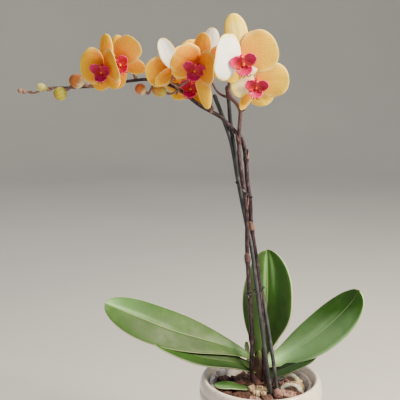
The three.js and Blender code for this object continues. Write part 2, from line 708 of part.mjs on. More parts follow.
const STALKS_RIGHT = [
  [[-26.1, 7.2, 431.5], [-18.8, 5, 440], [-16, 1, 450], ...bloomSeat('7')],
  [[-39.3, 9, 453.8], [-37.5, 4, 466], [-31, -8, 481], ...bloomSeat('6')],
  [[-35, 8, 445.2], [-46.7, 16, 449.5], [-53, 29, 456], [-59, 36, 470], ...bloomSeat('8')],
];

const KNOT = { reach: 4.5, swell: 0.9 };

// Swollen joints along a stem, by distance from 0 (foot) to 1 (end).
function stemKnots(curve, places) {
  return places.map((place) => {
    const centre = curve.getPointAt(place);
    const along = curve.getTangentAt(place).multiplyScalar(KNOT.reach);
    const [low, high] = [centre.clone().sub(along), centre.clone().add(along)];
    return egg(low, high, STEM_RADIUS + KNOT.swell, 0.4, 6, 3);
  });
}

function makeSpike(route, radiusAt, rings, knots, stalks, extras = []) {
  const curve = smooth(route);
  const stem = rod(curve, radiusAt, 6, rings);
  const branches = stalks.map((stalk) => evenRod(stalk, STALK_RADIUS, 4, 4));
  return largestBody(fuse([stem, ...stemKnots(curve, knots), ...branches, ...extras]));
}

const tipBuds = [[-262, -0.5, 454.6, 2.6], [-257, -1.5, 452.8, 2.1], [-250.5, -1, 453, 1.9]]
  .map(([x, y, z, radius]) => ball(point(x, y, z), radius, 5));

const leftRadius = (t) => mix(STEM_RADIUS, 1.1, Math.max(0, 2 * t - 1));
const rightRadius = (t) => mix(STEM_RADIUS + 0.15, 2.1, t);
const spikeLeft = makeSpike(SPIKE_LEFT_ROUTE, leftRadius, 35, [0.2, 0.34, 0.482], STALKS_LEFT, tipBuds);
const spikeRight = makeSpike(SPIKE_RIGHT_ROUTE, rightRadius, 26, [0.18, 0.45, 0.63, 0.83], STALKS_RIGHT);

// ---------- Wire ties ----------

// Where a rising curve meets the slanting plane z - slope * x = level.
function pointOnPlane(curve, level, slope) {
  let [low, high] = [0, 1];
  for (let i = 0; i < 30; i += 1) {
    const middle = (low + high) / 2;
    const spot = curve.getPointAt(middle);
    if (spot.z - slope * spot.x < level) low = middle;
    else high = middle;
  }
  return curve.getPointAt(low);
}

const TIE_TURNS = 18;
const TIE_CLEARANCE = 2.8 * GAP; // also clears the corners of the faceted rods

// A wire drawn round rods; slope is its rise per millimetre towards +X, and level its height at x = 0. Its
// tail leaves the loop at point number `place` and ends at `reach` from there.
function makeTie(rods, level, slope, tail) {
  const held = rods.map(({ curve, radius }) => ({ centre: pointOnPlane(curve, level, slope), radius }));
  const loop = [];
  for (let i = 0; i < TIE_TURNS; i += 1) {
    const angle = (2 * Math.PI * i) / TIE_TURNS;
    const out = point(Math.cos(angle), Math.sin(angle), 0);
    const extent = ({ centre, radius }) => centre.dot(out) + radius;
    const outermost = held.reduce((best, one) => (extent(one) > extent(best) ? one : best));
    const reach = outermost.radius + WIRE_RADIUS + TIE_CLEARANCE;
    const spot = outermost.centre.clone().addScaledVector(out, reach);
    spot.z = level + slope * spot.x;
    loop.push(spot);
  }
  const ring = wireLoop(loop, WIRE_RADIUS, 4);
  if (!tail) return ring;
  const start = loop[tail.place];
  const bend = point(tail.reach.x / 2, tail.reach.y, tail.reach.z / 2).add(start);
  const route = [start, bend, tail.reach.clone().add(start)].map((p) => p.toArray());
  return fuse([ring, evenRod(route, WIRE_RADIUS, 4, 3)]);
}

const stakeCurves = STAKES.map(({ route }) => ({ curve: smooth(route), radius: STAKE_RADIUS }));
const bundle = [
  ...stakeCurves,
  { curve: smooth(SPIKE_LEFT_ROUTE.slice(0, 14)), radius: STEM_RADIUS },
  { curve: smooth(SPIKE_RIGHT_ROUTE), radius: STEM_RADIUS + 0.1 },
];

// ---------- The whole plant ----------

const orchid = new THREE.Group();

function addPiece(name, solid, look, parent = orchid) {
  const mesh = new THREE.Mesh(geometryOf(solid), new THREE.MeshStandardMaterial(LOOKS[look]));
  mesh.name = name;
  parent.add(mesh);
}

addPiece('pot', makePot(), 'glaze');
addPiece('liner_pot', makeLiner(), 'clearPlastic');

const grownStems = [
  evenRod(drawnOut(SPIKE_LEFT_ROUTE.slice(0, 5), 1), STEM_RADIUS + KNOT.swell + GAP, 7, 8),
  evenRod(drawnOut(SPIKE_RIGHT_ROUTE.slice(0, 5), 1), STEM_RADIUS + KNOT.swell + GAP, 7, 8),
];
const grownStakes = STAKES.map((stake) => makeStake(stake, GAP));
const grownRoots = ROOTS.map((root) => makeRoot(root, GAP));
const grownCrown = makeCrown(GAP);

addPiece('crown', cutClear(makeCrown(), [...grownStems, ...grownRoots]), 'sheath');

const placedLeaves = [];
for (const leaf of LEAVES) {
  const lowerLeaves = placedLeaves.map((one) => makeLeaf(one, 3 * GAP));
  const blocked = [grownCrown, ...grownStems, ...grownStakes, ...grownRoots, ...lowerLeaves];
  const solid = cutClear(makeLeaf(leaf), blocked);
  placedLeaves.push(leaf);
  addPiece(leaf.name, solid, 'leaf');
}

for (const root of ROOTS) addPiece(root.name, makeRoot(root), 'root');
for (const stake of STAKES) addPiece(stake.name, makeStake(stake), 'stake');

const lowLeaves = LEAVES.filter(({ name }) => name === 'leaf_6').map((leaf) => makeLeaf(leaf, 2 * GAP));
const barkHoles = [grownCrown, ...grownStems, ...grownStakes, ...grownRoots, ...lowLeaves];
addPiece('bark_mix', makeBark(barkHoles), 'bark');

addPiece('spike_left', spikeLeft, 'purpleStem');
addPiece('spike_right', spikeRight, 'brownStem');
addPiece('tie_lower', makeTie(bundle, 232.5, 0.2, { place: 12, reach: point(2, -1.6, -3.5) }), 'wire');
addPiece('tie_upper', makeTie(bundle, 327.5, -0.88), 'wire');

for (const bloom of BLOOMS) {
  const flower = new THREE.Group();
  flower.position.set(...bloom.at);
  flower.quaternion.copy(bloomTurn(bloom));
  addPiece(`bloom_${bloom.name}`, makeBloom(bloom), 'petal', flower);
  addPiece(`lip_${bloom.name}`, makeLip(bloom), 'lip', flower);
  orchid.add(flower);
}

for (const bud of BUDS) addPiece(bud.name, makeBud(bud), bud.look);

export default orchid;
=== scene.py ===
"""Dresses the potted orchid: fine petals, lips, leaves, stems, bark and pot over the CAD model, in its frame.

The plant's sizes are millimetres until `finished` turns them into metres."""

import random
from bisect import bisect_right
from math import cos, dist, exp, hypot, inf, pi, radians, sin, sqrt

import bmesh
import bpy
from mathutils import Matrix, Quaternion, Vector
from mathutils import noise as field


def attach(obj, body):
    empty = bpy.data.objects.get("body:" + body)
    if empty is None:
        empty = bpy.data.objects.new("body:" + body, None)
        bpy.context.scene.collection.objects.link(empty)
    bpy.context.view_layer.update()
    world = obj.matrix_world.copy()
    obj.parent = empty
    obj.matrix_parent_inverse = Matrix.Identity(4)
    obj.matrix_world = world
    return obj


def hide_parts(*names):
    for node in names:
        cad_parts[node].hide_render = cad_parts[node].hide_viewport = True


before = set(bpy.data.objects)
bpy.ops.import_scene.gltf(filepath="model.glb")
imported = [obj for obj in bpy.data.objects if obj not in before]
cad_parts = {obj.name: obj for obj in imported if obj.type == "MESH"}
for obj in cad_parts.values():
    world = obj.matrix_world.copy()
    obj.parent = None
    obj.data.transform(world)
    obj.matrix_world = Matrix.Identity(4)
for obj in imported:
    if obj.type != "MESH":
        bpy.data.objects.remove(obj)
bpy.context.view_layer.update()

MM = 0.001
ROOT = "root"

# ---------- Sizes shared with the CAD model ----------

POT = {"height": 130, "foot": 52, "widest": 70, "widest_height": 116, "mouth": 59.5, "floor": 9}
FOOT_ROUND = 4
POT_INSIDE = [(POT["mouth"], POT["widest_height"]), (56.5, 70), (47.5, POT["floor"])]
LINER = {"height": 122.5, "foot": 44, "top": 56, "wall": 0.9, "flange": 2.4, "flange_height": 1.2}
BARK_LEVEL = 111
GAP = 0.3
CROWN = {"x": -1, "y": 14, "bottom": 92, "top": 152, "radius": 10.5}
STAKE_RADIUS = 2.25
STEM_RADIUS = 2.45
STEM_TIP_RADIUS = 1.1
STALK_RADIUS = 1.45
WIRE_RADIUS = 0.6
ROOT_RADIUS = 2.7
LEAF_THICKNESS = 2.2
TEPAL_THICKNESS = 0.8
LIP_THICKNESS = 1.0
BRACT_THICKNESS = 0.5
SHEATH_THICKNESS = 0.7


# ---------- Small helpers ----------


def mix(a, b, t):
    return a + (b - a) * t


def smoothstep(low, high, x):
    t = min(max((x - low) / (high - low), 0.0), 1.0)
    return t * t * (3 - 2 * t)


def circle(count):
    """The number, cosine and sine of each of `count` even steps round a circle."""
    for k in range(count):
        turn = 2 * pi * k / count
        yield k, cos(turn), sin(turn)


def hoop(centre, first, second, sides, t, tone):
    """A ring of points about a centre, each with its span, for a sheet."""
    return [(centre + first * c + second * s, (t, k / sides, tone)) for k, c, s in circle(sides)]


def spin(axis, degrees):
    return Quaternion(axis, radians(degrees))


def tint(code):
    """Linear colour of a hex code as seen on a screen."""
    seen = [int(code[i : i + 2], 16) / 255 for i in (0, 2, 4)]
    return (*[c / 12.92 if c <= 0.04045 else ((c + 0.055) / 1.055) ** 2.4 for c in seen], 1.0)


def link(name, data):
    """Adds an object to the scene."""
    made = bpy.data.objects.new(name, data)
    bpy.context.scene.collection.objects.link(made)
    return made


class Route:
    """A centripetal Catmull-Rom curve through points, read by its share of length from 0 to 1."""

    SAMPLES = 24
    TANGENT_STEP = 0.004

    def __init__(self, points):
        knots = [Vector(p) for p in points]
        knots = [knots[0] * 2 - knots[1], *knots, knots[-1] * 2 - knots[-2]]
        self.places = []
        for p0, p1, p2, p3 in zip(knots, knots[1:], knots[2:], knots[3:]):
            d0, d1, d2 = [max((b - a).length ** 0.5, 1e-4) for a, b in ((p0, p1), (p1, p2), (p2, p3))]
            start = ((p1 - p0) / d0 - (p2 - p0) / (d0 + d1) + (p2 - p1) / d1) * d1
            end = ((p2 - p1) / d1 - (p3 - p1) / (d1 + d2) + (p3 - p2) / d2) * d1
            bend = p1 * -3 + p2 * 3 - start * 2 - end
            twist = p1 * 2 - p2 * 2 + start + end
            for i in range(self.SAMPLES):
                t = i / self.SAMPLES
                self.places.append(p1 + start * t + bend * t**2 + twist * t**3)
        self.places.append(knots[-2])
        self.reach = [0.0]
        for a, b in zip(self.places, self.places[1:]):
            self.reach.append(self.reach[-1] + (b - a).length)
        self.length = self.reach[-1]

    def at(self, share):
        goal = min(max(share, 0.0), 1.0) * self.length
        low = min(bisect_right(self.reach, goal), len(self.reach) - 1) - 1
        span = max(self.reach[low + 1] - self.reach[low], 1e-9)
        return self.places[low].lerp(self.places[low + 1], (goal - self.reach[low]) / span)

    def tangent(self, share):
        ahead, behind = min(share + self.TANGENT_STEP, 1), max(share - self.TANGENT_STEP, 0)
        return (self.at(ahead) - self.at(behind)).normalized()


# ---------- Mesh building ----------


class Form:
    """Gathers the points and faces of one piece. A span is what a material reads at a point: its share of the
    length, its share of the width and its tone. `look` is the number of the next faces' material."""

    def __init__(self):
        self.points, self.spans, self.faces, self.looks = [], [], [], []
        self.look = 0

    def place(self, spot, span):
        self.points.append(Vector(spot))
        self.spans.append(span)
        return len(self.points) - 1

    def face(self, *corners):
        self.faces.append(corners)
        self.looks.append(self.look)

    def sheet(self, rows, wrap=False):
        ids = [[self.place(spot, span) for spot, span in row] for row in rows]
        for a, b in zip(ids, ids[1:]):
            for i in range(len(a) if wrap else len(a) - 1):
                j = (i + 1) % len(a)
                self.face(a[i], b[i], b[j], a[j])
        return ids

    def cap(self, ring, spot, span):
        """Closes a ring of points with a fan about a new point."""
        hub = self.place(spot, span)
        for k, corner in enumerate(ring):
            self.face(corner, ring[(k + 1) % len(ring)], hub)


def blade(form, surface, thickness, rows, columns, tone=0.0, thin=0.65):
    """A thin closed blade about surface(u, v), thinner towards its rim by the share `thin`. Its tone is a
    number or tone(u, v)."""
    step = 1e-3
    sides = []
    for sign in (1, -1):
        grid = []
        for r in range(rows + 1):
            u = r / rows
            row = []
            for c in range(columns + 1):
                v = -1 + 2 * c / columns
                along = surface(min(u + step, 1), v) - surface(max(u - step, 0), v)
                across = surface(u, min(v + step, 1)) - surface(u, max(v - step, -1))
                normal = along.cross(across).normalized()
                edge = max(abs(v) ** 6, smoothstep(0.85, 1, u))
                half = thickness / 2 * (1 - thin * edge) * sign
                shown = tone(u, v) if callable(tone) else tone
                row.append((surface(u, v) + normal * half, (u, (v + 1) / 2, shown)))
            grid.append(row)
        sides.append(form.sheet(grid))

    def rim(ids):
        ends = [row[-1] for row in ids[1:]]
        starts = [row[0] for row in ids[-2:0:-1]]
        return [*ids[0], *ends, *ids[-1][-2::-1], *starts]

    upper, lower = [rim(ids) for ids in sides]
    for i, a in enumerate(upper):
        j = (i + 1) % len(upper)
        form.face(a, upper[j], lower[j], lower[i])


# How far each ring of a rod's round end lies past its end, and how wide it is, in radii.
DOME = [(0.39, 0.92), (0.71, 0.7), (0.92, 0.38)]


def tube(form, route, radius_at, sides, rings, tone=0.0, round_foot=True):
    """A rod along a route, with a rounded tip and, if asked for, a rounded foot."""
    spoke = route.tangent(0).orthogonal().normalized()
    stations = [(i / rings, 1.0, 0.0) for i in range(rings + 1)]
    if round_foot:
        stations = [(0, size, -push) for push, size in reversed(DOME)] + stations
    stations += [(1, size, push) for push, size in DOME]
    grid = []
    for t, size, push in stations:
        tangent = route.tangent(t)
        spoke = (spoke - tangent * spoke.dot(tangent)).normalized()
        side = tangent.cross(spoke)
        radius = radius_at(t)
        centre = route.at(t) + tangent * (push * radius)
        grid.append(hoop(centre, spoke * radius * size, side * radius * size, sides, t, tone))
    ids = form.sheet(grid, wrap=True)
    form.face(*ids[0])
    form.face(*ids[-1])


def turned(form, profile, sides, shade_from=inf):
    """A solid of revolution about Z from (radius, height) points that start and end on the axis. After
    profile point number `shade_from`, the tone is 1, which the glaze paints as shade on the pot's inside."""
    rows = []
    for i, (radius, height) in enumerate(profile[1:-1]):
        first, second = Vector((radius, 0, 0)), Vector((0, radius, 0))
        rows.append(hoop(Vector((0, 0, height)), first, second, sides, i / len(profile), float(i > shade_from)))
    ids = form.sheet(rows, wrap=True)
    form.cap(ids[0], (0, 0, profile[0][1]), (0, 0, 0.0))
    form.cap(ids[-1], (0, 0, profile[-1][1]), (0, 0, 0.0))


def egg(form, base, tip, radius, sides, rings, tone=0.0, belly=0.5, seams=0.0):
    """An egg-shaped body from base to tip, fullest at `belly` of its length, with three shallow seams."""
    base, tip = Vector(base), Vector(tip)
    axis = tip - base
    turn = Vector((0, 0, 1)).rotation_difference(axis).to_matrix()
    grid = []
    for ring in range(1, rings):
        t = (1 - cos(pi * ring / rings)) / 2
        swell = 1 - t / belly if t < belly else (t - belly) / (1 - belly)
        size = radius * max(0.0, 1 - swell**2.2) ** 0.5
        row = []
        for k, c, s in circle(sides):
            seam = 1 - seams * (1 - abs(sin(3 * pi * k / sides))) ** 3
            flat = turn @ Vector((c * size * seam, s * size * seam, 0))
            row.append((base + axis * t + flat, (t, k / sides, tone)))
        grid.append(row)
    ids = form.sheet(grid, wrap=True)
    form.cap(ids[0], base, (0, 0, tone))
    form.cap(ids[-1], tip, (1, 0, tone))


LUMP_CUTS = 5


def lump(form, size, turn, centre, rough, seed, tone, limit):
    """A rough chunk: a rounded box whose faces are broken up by noise, kept within limit(height) of Z."""
    index = {}
    shift = Vector((seed * 7.31, seed * 3.17, seed * 1.73))

    def corner(*key):
        if key not in index:
            p = Vector(key) / LUMP_CUTS * 2 - Vector((1, 1, 1))
            ball = p.normalized()
            p = p.lerp(ball, 0.32)
            coarse, fine = field.noise(p * 1.1 + shift), field.noise(p * 3.1 + shift)
            p += ball * rough * coarse + ball * rough * 0.5 * fine
            spot = turn @ (Vector((p.x * size[0], p.y * size[1], p.z * size[2])) / 2) + centre
            away = hypot(spot.x, spot.y)
            most = limit(spot.z)
            if away > most:
                spot.x, spot.y = spot.x * most / away, spot.y * most / away
            index[key] = form.place(spot, (key[0] / LUMP_CUTS, key[1] / LUMP_CUTS, tone))
        return index[key]

    for axis in range(3):
        for level in (0, LUMP_CUTS):
            for a in range(LUMP_CUTS):
                for b in range(LUMP_CUTS):
                    corners = []
                    for da, db in ((0, 0), (1, 0), (1, 1), (0, 1)):
                        key = [0, 0, 0]
                        key[axis], key[(axis + 1) % 3], key[(axis + 2) % 3] = level, a + da, b + db
                        corners.append(corner(*key))
                    form.face(*corners)


def finished(form, name, looks, node, matrix=None):
    """Makes the gathered form, turned by the matrix, a piece that stands for its CAD node."""
    points = [matrix @ p for p in form.points] if matrix else form.points
    mesh = bpy.data.meshes.new(name)
    mesh.from_pydata([p * MM for p in points], [], form.faces)
    for look in looks:
        mesh.materials.append(LOOKS[look])
    mesh.polygons.foreach_set("material_index", form.looks)
    span = mesh.attributes.new("span", "FLOAT_VECTOR", "POINT")
    span.data.foreach_set("vector", [c for s in form.spans for c in s])
    built = bmesh.new()
    built.from_mesh(mesh)
    bmesh.ops.recalc_face_normals(built, faces=built.faces)
    built.to_mesh(mesh)
    built.free()
    mesh.polygons.foreach_set("use_smooth", [True] * len(mesh.polygons))
    piece = link(name, mesh)
    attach(piece, ROOT)
    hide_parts(node)


# ---------- Materials ----------


class Look:
    """A node material on one Principled shader. Its helpers give back sockets, and `paint` lays a colour over
    the base colour so far."""

    def __init__(self, name, **fixed):
        self.material = bpy.data.materials.new(name)
        self.material.use_nodes = True
        self.tree = self.material.node_tree
        self.shader = self.tree.nodes["Principled BSDF"]
        self.base = None
        for key, value in fixed.items():
            self.shader.inputs[key.replace("_", " ")].default_value = value

    def put(self, socket, value):
        if isinstance(value, bpy.types.NodeSocket):
            self.tree.links.new(value, socket)
        else:
            socket.default_value = value

    def node(self, kind, inputs=(), **settings):
        made = self.tree.nodes.new("ShaderNode" + kind)
        for key, value in settings.items():
            setattr(made, key, value)
        for key, value in dict(inputs).items():
            self.put(made.inputs[key], value)
        return made

    def spans(self):
        read = self.node("Attribute", attribute_name="span", attribute_type="GEOMETRY")
        parts = self.node("SeparateXYZ", {"Vector": read.outputs["Vector"]})
        return parts.outputs["X"], parts.outputs["Y"], parts.outputs["Z"]

    def spot(self):
        return self.node("TexCoord").outputs["Object"]

    def stretched(self, *scale):
        return self.node("Mapping", {"Vector": self.spot(), "Scale": scale}).outputs["Vector"]

    def noise(self, scale, detail, vector=None, rough=0.55, twist=0.0):
        inputs = {"Vector": vector or self.spot(), "Scale": scale, "Detail": detail, "Roughness": rough}
        return self.node("TexNoise", {**inputs, "Distortion": twist}).outputs["Fac"]

    def cells(self, scale, vector=None, feature="F1"):
        inputs = {"Vector": vector or self.spot(), "Scale": scale}
        return self.node("TexVoronoi", inputs, feature=feature).outputs["Distance"]

    def math(self, operation, a, b=0.0, clamp=False):
        made = self.node("Math", {0: a, 1: b}, operation=operation, use_clamp=clamp)
        return made.outputs[0]

    def plus(self, a, b):
        return self.math("ADD", a, b)

    def minus(self, a, b):
        return self.math("SUBTRACT", a, b)

    def times(self, a, b, clamp=False):
        return self.math("MULTIPLY", a, b, clamp)

    def larger(self, a, b):
        return self.math("MAXIMUM", a, b)

    def rimward(self, v):
        """0 on a blade's middle line and 1 on its long rims."""
        return self.math("ABSOLUTE", self.minus(self.times(v, 2.0), 1.0))

    def wave(self, value, rate):
        return self.math("SINE", self.times(value, rate))

    def sway(self, scale, detail, reach):
        """A noise that sways by `reach` in all about 0."""
        return self.times(self.minus(self.noise(scale, detail), 0.5), reach)

    def fade(self, value, low, high, to_low=0.0, to_high=1.0):
        """value from low..high to to_low..to_high, smooth at both ends."""
        inputs = {"Value": value, "From Min": low, "From Max": high, "To Min": to_low, "To Max": to_high}
        return self.node("MapRange", inputs, interpolation_type="SMOOTHSTEP").outputs["Result"]

    def patches(self, scale, detail, low, high, to_low, to_high):
        return self.fade(self.noise(scale, detail), low, high, to_low, to_high)

    def gloss(self, value, smooth, rough):
        """A roughness that follows a noise."""
        return self.fade(value, 0.3, 0.7, smooth, rough)

    def ramp(self, value, *stops):
        made = self.node("ValToRGB", {"Fac": value})
        bar = made.color_ramp
        while len(bar.elements) < len(stops):
            bar.elements.new(0.5)
        for element, (place, code) in zip(bar.elements, stops):
            element.position = place
            element.color = tint(code)
        return made.outputs["Color"]

    def blend(self, share, under, over):
        under, over = [tint(colour) if isinstance(colour, str) else colour for colour in (under, over)]
        return self.node("Mix", {0: share, 6: under, 7: over}, data_type="RGBA").outputs[2]

    def paint(self, share, colour):
        self.base = self.blend(share, self.base, colour)

    def blot(self, scale, detail, low, high, share, colour):
        self.paint(self.patches(scale, detail, low, high, 0, share), colour)

    def fleck(self, scale, reach, share, colour):
        self.paint(self.fade(self.cells(scale), 0.0, reach, share, 0), colour)

    def feed(self, key, socket):
        self.tree.links.new(socket, self.shader.inputs[key])

    def done(self, roughness=None, height=None, strength=0.0, distance=0.0):
        """Feeds the base colour, and a roughness and relief where they are given."""
        self.feed("Base Color", self.base)
        if roughness:
            self.feed("Roughness", roughness)
        if height:
            inputs = {"Height": height, "Strength": strength, "Distance": distance}
            self.feed("Normal", self.node("Bump", inputs).outputs["Normal"])
        return self.material


def petal_look():
    look = Look("petal", Roughness=0.55, Subsurface_Weight=0.12, Subsurface_Scale=0.004,
                Subsurface_Radius=(1.0, 0.5, 0.2), Specular_IOR_Level=0.25)
    u, v, tone = look.spans()
    side = look.rimward(v)
    look.base = look.ramp(u, (0.0, "a82000"), (0.1, "de6200"), (0.28, "f49600"), (0.55, "fab400"),
                          (0.85, "fcc600"), (1.0, "ffe24a"))
    look.blot(70, 3, 0.42, 0.72, 0.4, "f49600")
    vein = look.fade(look.wave(look.plus(v, look.sway(90, 2, 0.05)), 88.0), 0.35, 1.0)
    branch = look.fade(look.cells(210, feature="DISTANCE_TO_EDGE"), 0.0, 0.14, 1, 0)
    lines = look.larger(vein, look.times(branch, 0.55))
    fading = look.times(look.fade(u, 0.35, 1.0, 0.5, 0.12), look.fade(side, 0.6, 1.0, 1, 0.15))
    # Veins fade under the painted sunlight where tone is above 0.
    fading = look.times(fading, look.fade(tone, 0.0, 0.6, 1, 0.1))
    look.paint(look.times(lines, fading), "e05000")
    rim = look.larger(look.fade(side, 0.72, 1.0), look.fade(u, 0.84, 1.0))
    rim = look.times(rim, look.patches(130, 2, 0.2, 0.75, 0.55, 1.0))
    # Painted light: tone above 0 washes the petal to yellow-white and white like strong sunlight, most in its
    # middle; tone below 0 paints shade as a deeper orange.
    painted_sun = look.times(tone, look.fade(look.larger(side, u), 0.6, 1.0, 1.0, 0.55))
    look.paint(look.times(tone, -1.0, True), "f07c00")
    look.paint(look.times(painted_sun, 1.4, True), "ffe84c")
    look.paint(look.fade(painted_sun, 0.4, 0.85), "ffffff")
    look.paint(look.times(rim, look.fade(tone, 0.6, 0.85, 0.65, 0.15)), "ffe98a")
    grain = look.noise(1500, 2)
    height = look.minus(look.times(grain, 0.25), look.times(lines, 0.6))
    return look.done(look.fade(grain, 0.2, 0.8, 0.42, 0.6), height, 0.35, 0.0004)


def column_look():
    look = Look("column", Roughness=0.45, Subsurface_Weight=0.1, Subsurface_Scale=0.003)
    u, _, tone = look.spans()
    look.base = look.ramp(u, (0.0, "b02c04"), (0.35, "f0560c"), (0.75, "ea3412"), (1.0, "cc1426"))
    look.fleck(420, 0.32, 0.8, "8e1226")
    look.paint(tone, "f8d9a4")
    return look.done(look.gloss(look.noise(600, 2), 0.32, 0.5), look.noise(900, 3), 0.25, 0.0004)


def lip_look():
    look = Look("lip", Roughness=0.38, Subsurface_Weight=0.1, Subsurface_Scale=0.003, Specular_IOR_Level=0.35)
    u, v, tone = look.spans()
    look.base = look.ramp(u, (0.0, "c83208"), (0.16, "c81e14"), (0.36, "b40034"), (0.7, "cc0060"),
                          (1.0, "dc1080"))
    stripe = look.fade(look.wave(v, 60.0), 0.2, 1.0, 0, 0.4)
    look.paint(stripe, "8c0026")
    look.blot(260, 3, 0.5, 0.75, 0.5, "9c0030")
    look.paint(look.fade(look.rimward(v), 0.85, 1.0, 0, 0.35), "f0609a")
    look.paint(look.times(tone, look.fade(look.cells(500), 0.1, 0.45, 0.1, 1.0)), "ee9a20")
    height = look.plus(look.noise(1100, 3), look.times(stripe, 0.8))
    return look.done(look.gloss(look.noise(500, 2), 0.3, 0.48), height, 0.3, 0.0004)


def leaf_look():
    look = Look("leaf", Roughness=0.45, Coat_Weight=0.03, Coat_Roughness=0.35, Specular_IOR_Level=0.2)
    u, v, tone = look.spans()
    side = look.rimward(v)
    look.base = look.ramp(u, (0.0, "5a6636"), (0.08, "3f6029"), (0.45, "345c1c"), (0.85, "37631e"),
                          (1.0, "4a742c"))
    look.blot(28, 4, 0.35, 0.7, 0.55, "24401a")
    look.blot(75, 3, 0.5, 0.75, 0.3, "527c36")
    lines = look.fade(look.wave(look.plus(v, look.sway(60, 2, 0.03)), 190.0), 0.0, 1.0)
    look.paint(look.times(lines, 0.16), "20401a")
    look.paint(look.fade(side, 0.0, 0.04, 0.5, 0), "a4b388")
    # A pale rim: partly the leaf's own pale edge, partly painted rim light.
    look.paint(look.fade(side, 0.955, 0.995, 0, 0.7), "d3dcb4")
    look.fleck(330, 0.16, 0.3, "7c9a5c")
    # Painted shade: darker where tone is below 0.
    look.paint(look.times(tone, -1.0, True), "1c2a16")
    # Painted sheen: a pale reflection in patches where tone is above 0.
    look.paint(look.times(tone, look.patches(36, 4, 0.3, 0.7, 0.7, 1.0), True), "9ece94")
    height = look.plus(look.times(lines, 0.5), look.noise(420, 3))
    return look.done(look.gloss(look.noise(45, 3), 0.36, 0.52), height, 0.25, 0.0005)


def sheath_look():
    """Brown fibres below, turning green where the sheaths pass into leaves, at 148 to 158 mm."""
    look = Look("sheath", Roughness=0.75)
    tone = look.spans()[2]
    lines = look.noise(260, 3, look.stretched(1, 1, 0.08))
    look.base = look.ramp(lines, (0.3, "38211f"), (0.55, "6a4540"), (0.75, "a58679"))
    look.blot(60, 3, 0.45, 0.7, 0.7, "4a2e34")
    height = look.node("SeparateXYZ", {"Vector": look.spot()}).outputs["Z"]
    green = look.fade(look.plus(height, look.times(lines, 0.012)), 0.148, 0.158)
    look.paint(look.larger(green, look.times(tone, 0.5)), "5d7038")
    return look.done(look.gloss(lines, 0.6, 0.9), lines, 0.5, 0.001)


def stem_look(name, dark, light, end):
    look = Look(name, Roughness=0.42, Specular_IOR_Level=0.35)
    u, _, tone = look.spans()
    patch = look.noise(120, 4)
    look.base = look.ramp(patch, (0.32, dark), (0.6, light), (0.85, "64505a"))
    grain = look.noise(700, 3, look.stretched(1, 1, 0.25))
    look.paint(look.fade(grain, 0.5, 0.75, 0, 0.3), "9c868e")
    look.fleck(520, 0.2, 0.3, "a6949a")
    look.paint(look.larger(tone, look.fade(u, 0.84, 1.0, 0, 0.7)), end)
    height = look.plus(grain, look.times(patch, 0.6))
    return look.done(look.gloss(patch, 0.32, 0.55), height, 0.3, 0.0005)


def stake_look():
    look = Look("stake", Roughness=0.42)
    grain = look.noise(300, 4, look.stretched(1, 1, 0.1))
    look.base = look.ramp(grain, (0.3, "202226"), (0.55, "36393f"), (0.8, "565a60"))
    look.blot(90, 4, 0.55, 0.72, 0.5, "686c70")
    return look.done(look.gloss(grain, 0.34, 0.55), grain, 0.3, 0.0005)


def wire_look():
    look = Look("wire", Metallic=0.9, Roughness=0.35)
    worn = look.noise(400, 3)
    look.base = look.ramp(worn, (0.35, "3e4042"), (0.6, "66686c"), (0.8, "8e9094"))
    return look.done(look.gloss(worn, 0.25, 0.5), look.noise(1500, 2), 0.2, 0.0002)


def glaze_look():
    look = Look("glaze", Roughness=0.2, Coat_Weight=0.35, Coat_Roughness=0.08)
    tone = look.spans()[2]
    look.base = look.ramp(look.noise(14, 4), (0.3, "d6c6b9"), (0.5, "ebe2d8"), (0.75, "f7f3ec"))
    look.fleck(150, 0.05, 0.5, "b9a796")
    look.paint(look.fade(look.noise(55, 6, rough=0.7), 0.5, 0.7, 0, 0.5), "bfa797")
    # Painted shade: dark brownish grey in patches over the pot's inside wall, where tone is 1.
    look.paint(look.times(tone, look.patches(30, 4, 0.2, 0.8, 0.85, 1.0)), "4c413c")
    height = look.plus(look.noise(40, 3), look.times(look.noise(400, 2), 0.15))
    return look.done(look.gloss(look.noise(35, 3), 0.14, 0.28), height, 0.12, 0.001)


def clear_look():
    """Clear plastic with streaks, and a painted sheen: a pale reflection painted in patches on its left as
    seen from the front.
    """
    look = Look("clear_plastic", Roughness=0.14, Specular_IOR_Level=0.8)
    streaks = look.noise(45, 5, look.stretched(1, 1, 0.4), 0.6, 1.2)
    look.base = look.ramp(streaks, (0.25, "cfc8dc"), (0.45, "f0ecf8"), (0.7, "ffffff"))
    from_left = look.math("ABSOLUTE", look.minus(look.spans()[1], 0.42))
    # Painted reflection: near-opaque pale patches on the wall at one angle.
    painted_reflection = look.times(look.patches(34, 3, 0.3, 0.42, 0, 0.95), look.fade(from_left, 0.04, 0.1, 1.0, 0.1))
    look.feed("Alpha", look.plus(painted_reflection, look.fade(streaks, 0.42, 0.75, 0.04, 0.2)))
    return look.done(None, streaks, 0.3, 0.0006)


def bark_look():
    look = Look("bark", Roughness=0.92)
    tone = look.spans()[2]
    fibre = look.noise(240, 6, look.stretched(1, 0.35, 1), 0.65, 0.6)
    red = look.ramp(fibre, (0.3, "180c09"), (0.48, "3a211b"), (0.62, "5a382f"), (0.8, "86665a"))
    pink = look.ramp(fibre, (0.3, "482c28"), (0.5, "94706a"), (0.68, "c6a49c"), (0.85, "e8d2ca"))
    cream = look.ramp(fibre, (0.3, "806850"), (0.5, "ccb292"), (0.68, "ead8bc"), (0.85, "faf2e4"))
    look.base = look.blend(look.fade(tone, 0.0, 0.6), red, pink)
    look.paint(look.fade(tone, 0.6, 0.9), cream)
    look.blot(90, 4, 0.5, 0.75, 0.6, "341c17")
    cracks = look.fade(look.cells(170, look.stretched(1, 0.4, 1), "DISTANCE_TO_EDGE"), 0.0, 0.12)
    return look.done(None, look.plus(fibre, look.times(cracks, 0.5)), 0.9, 0.0018)


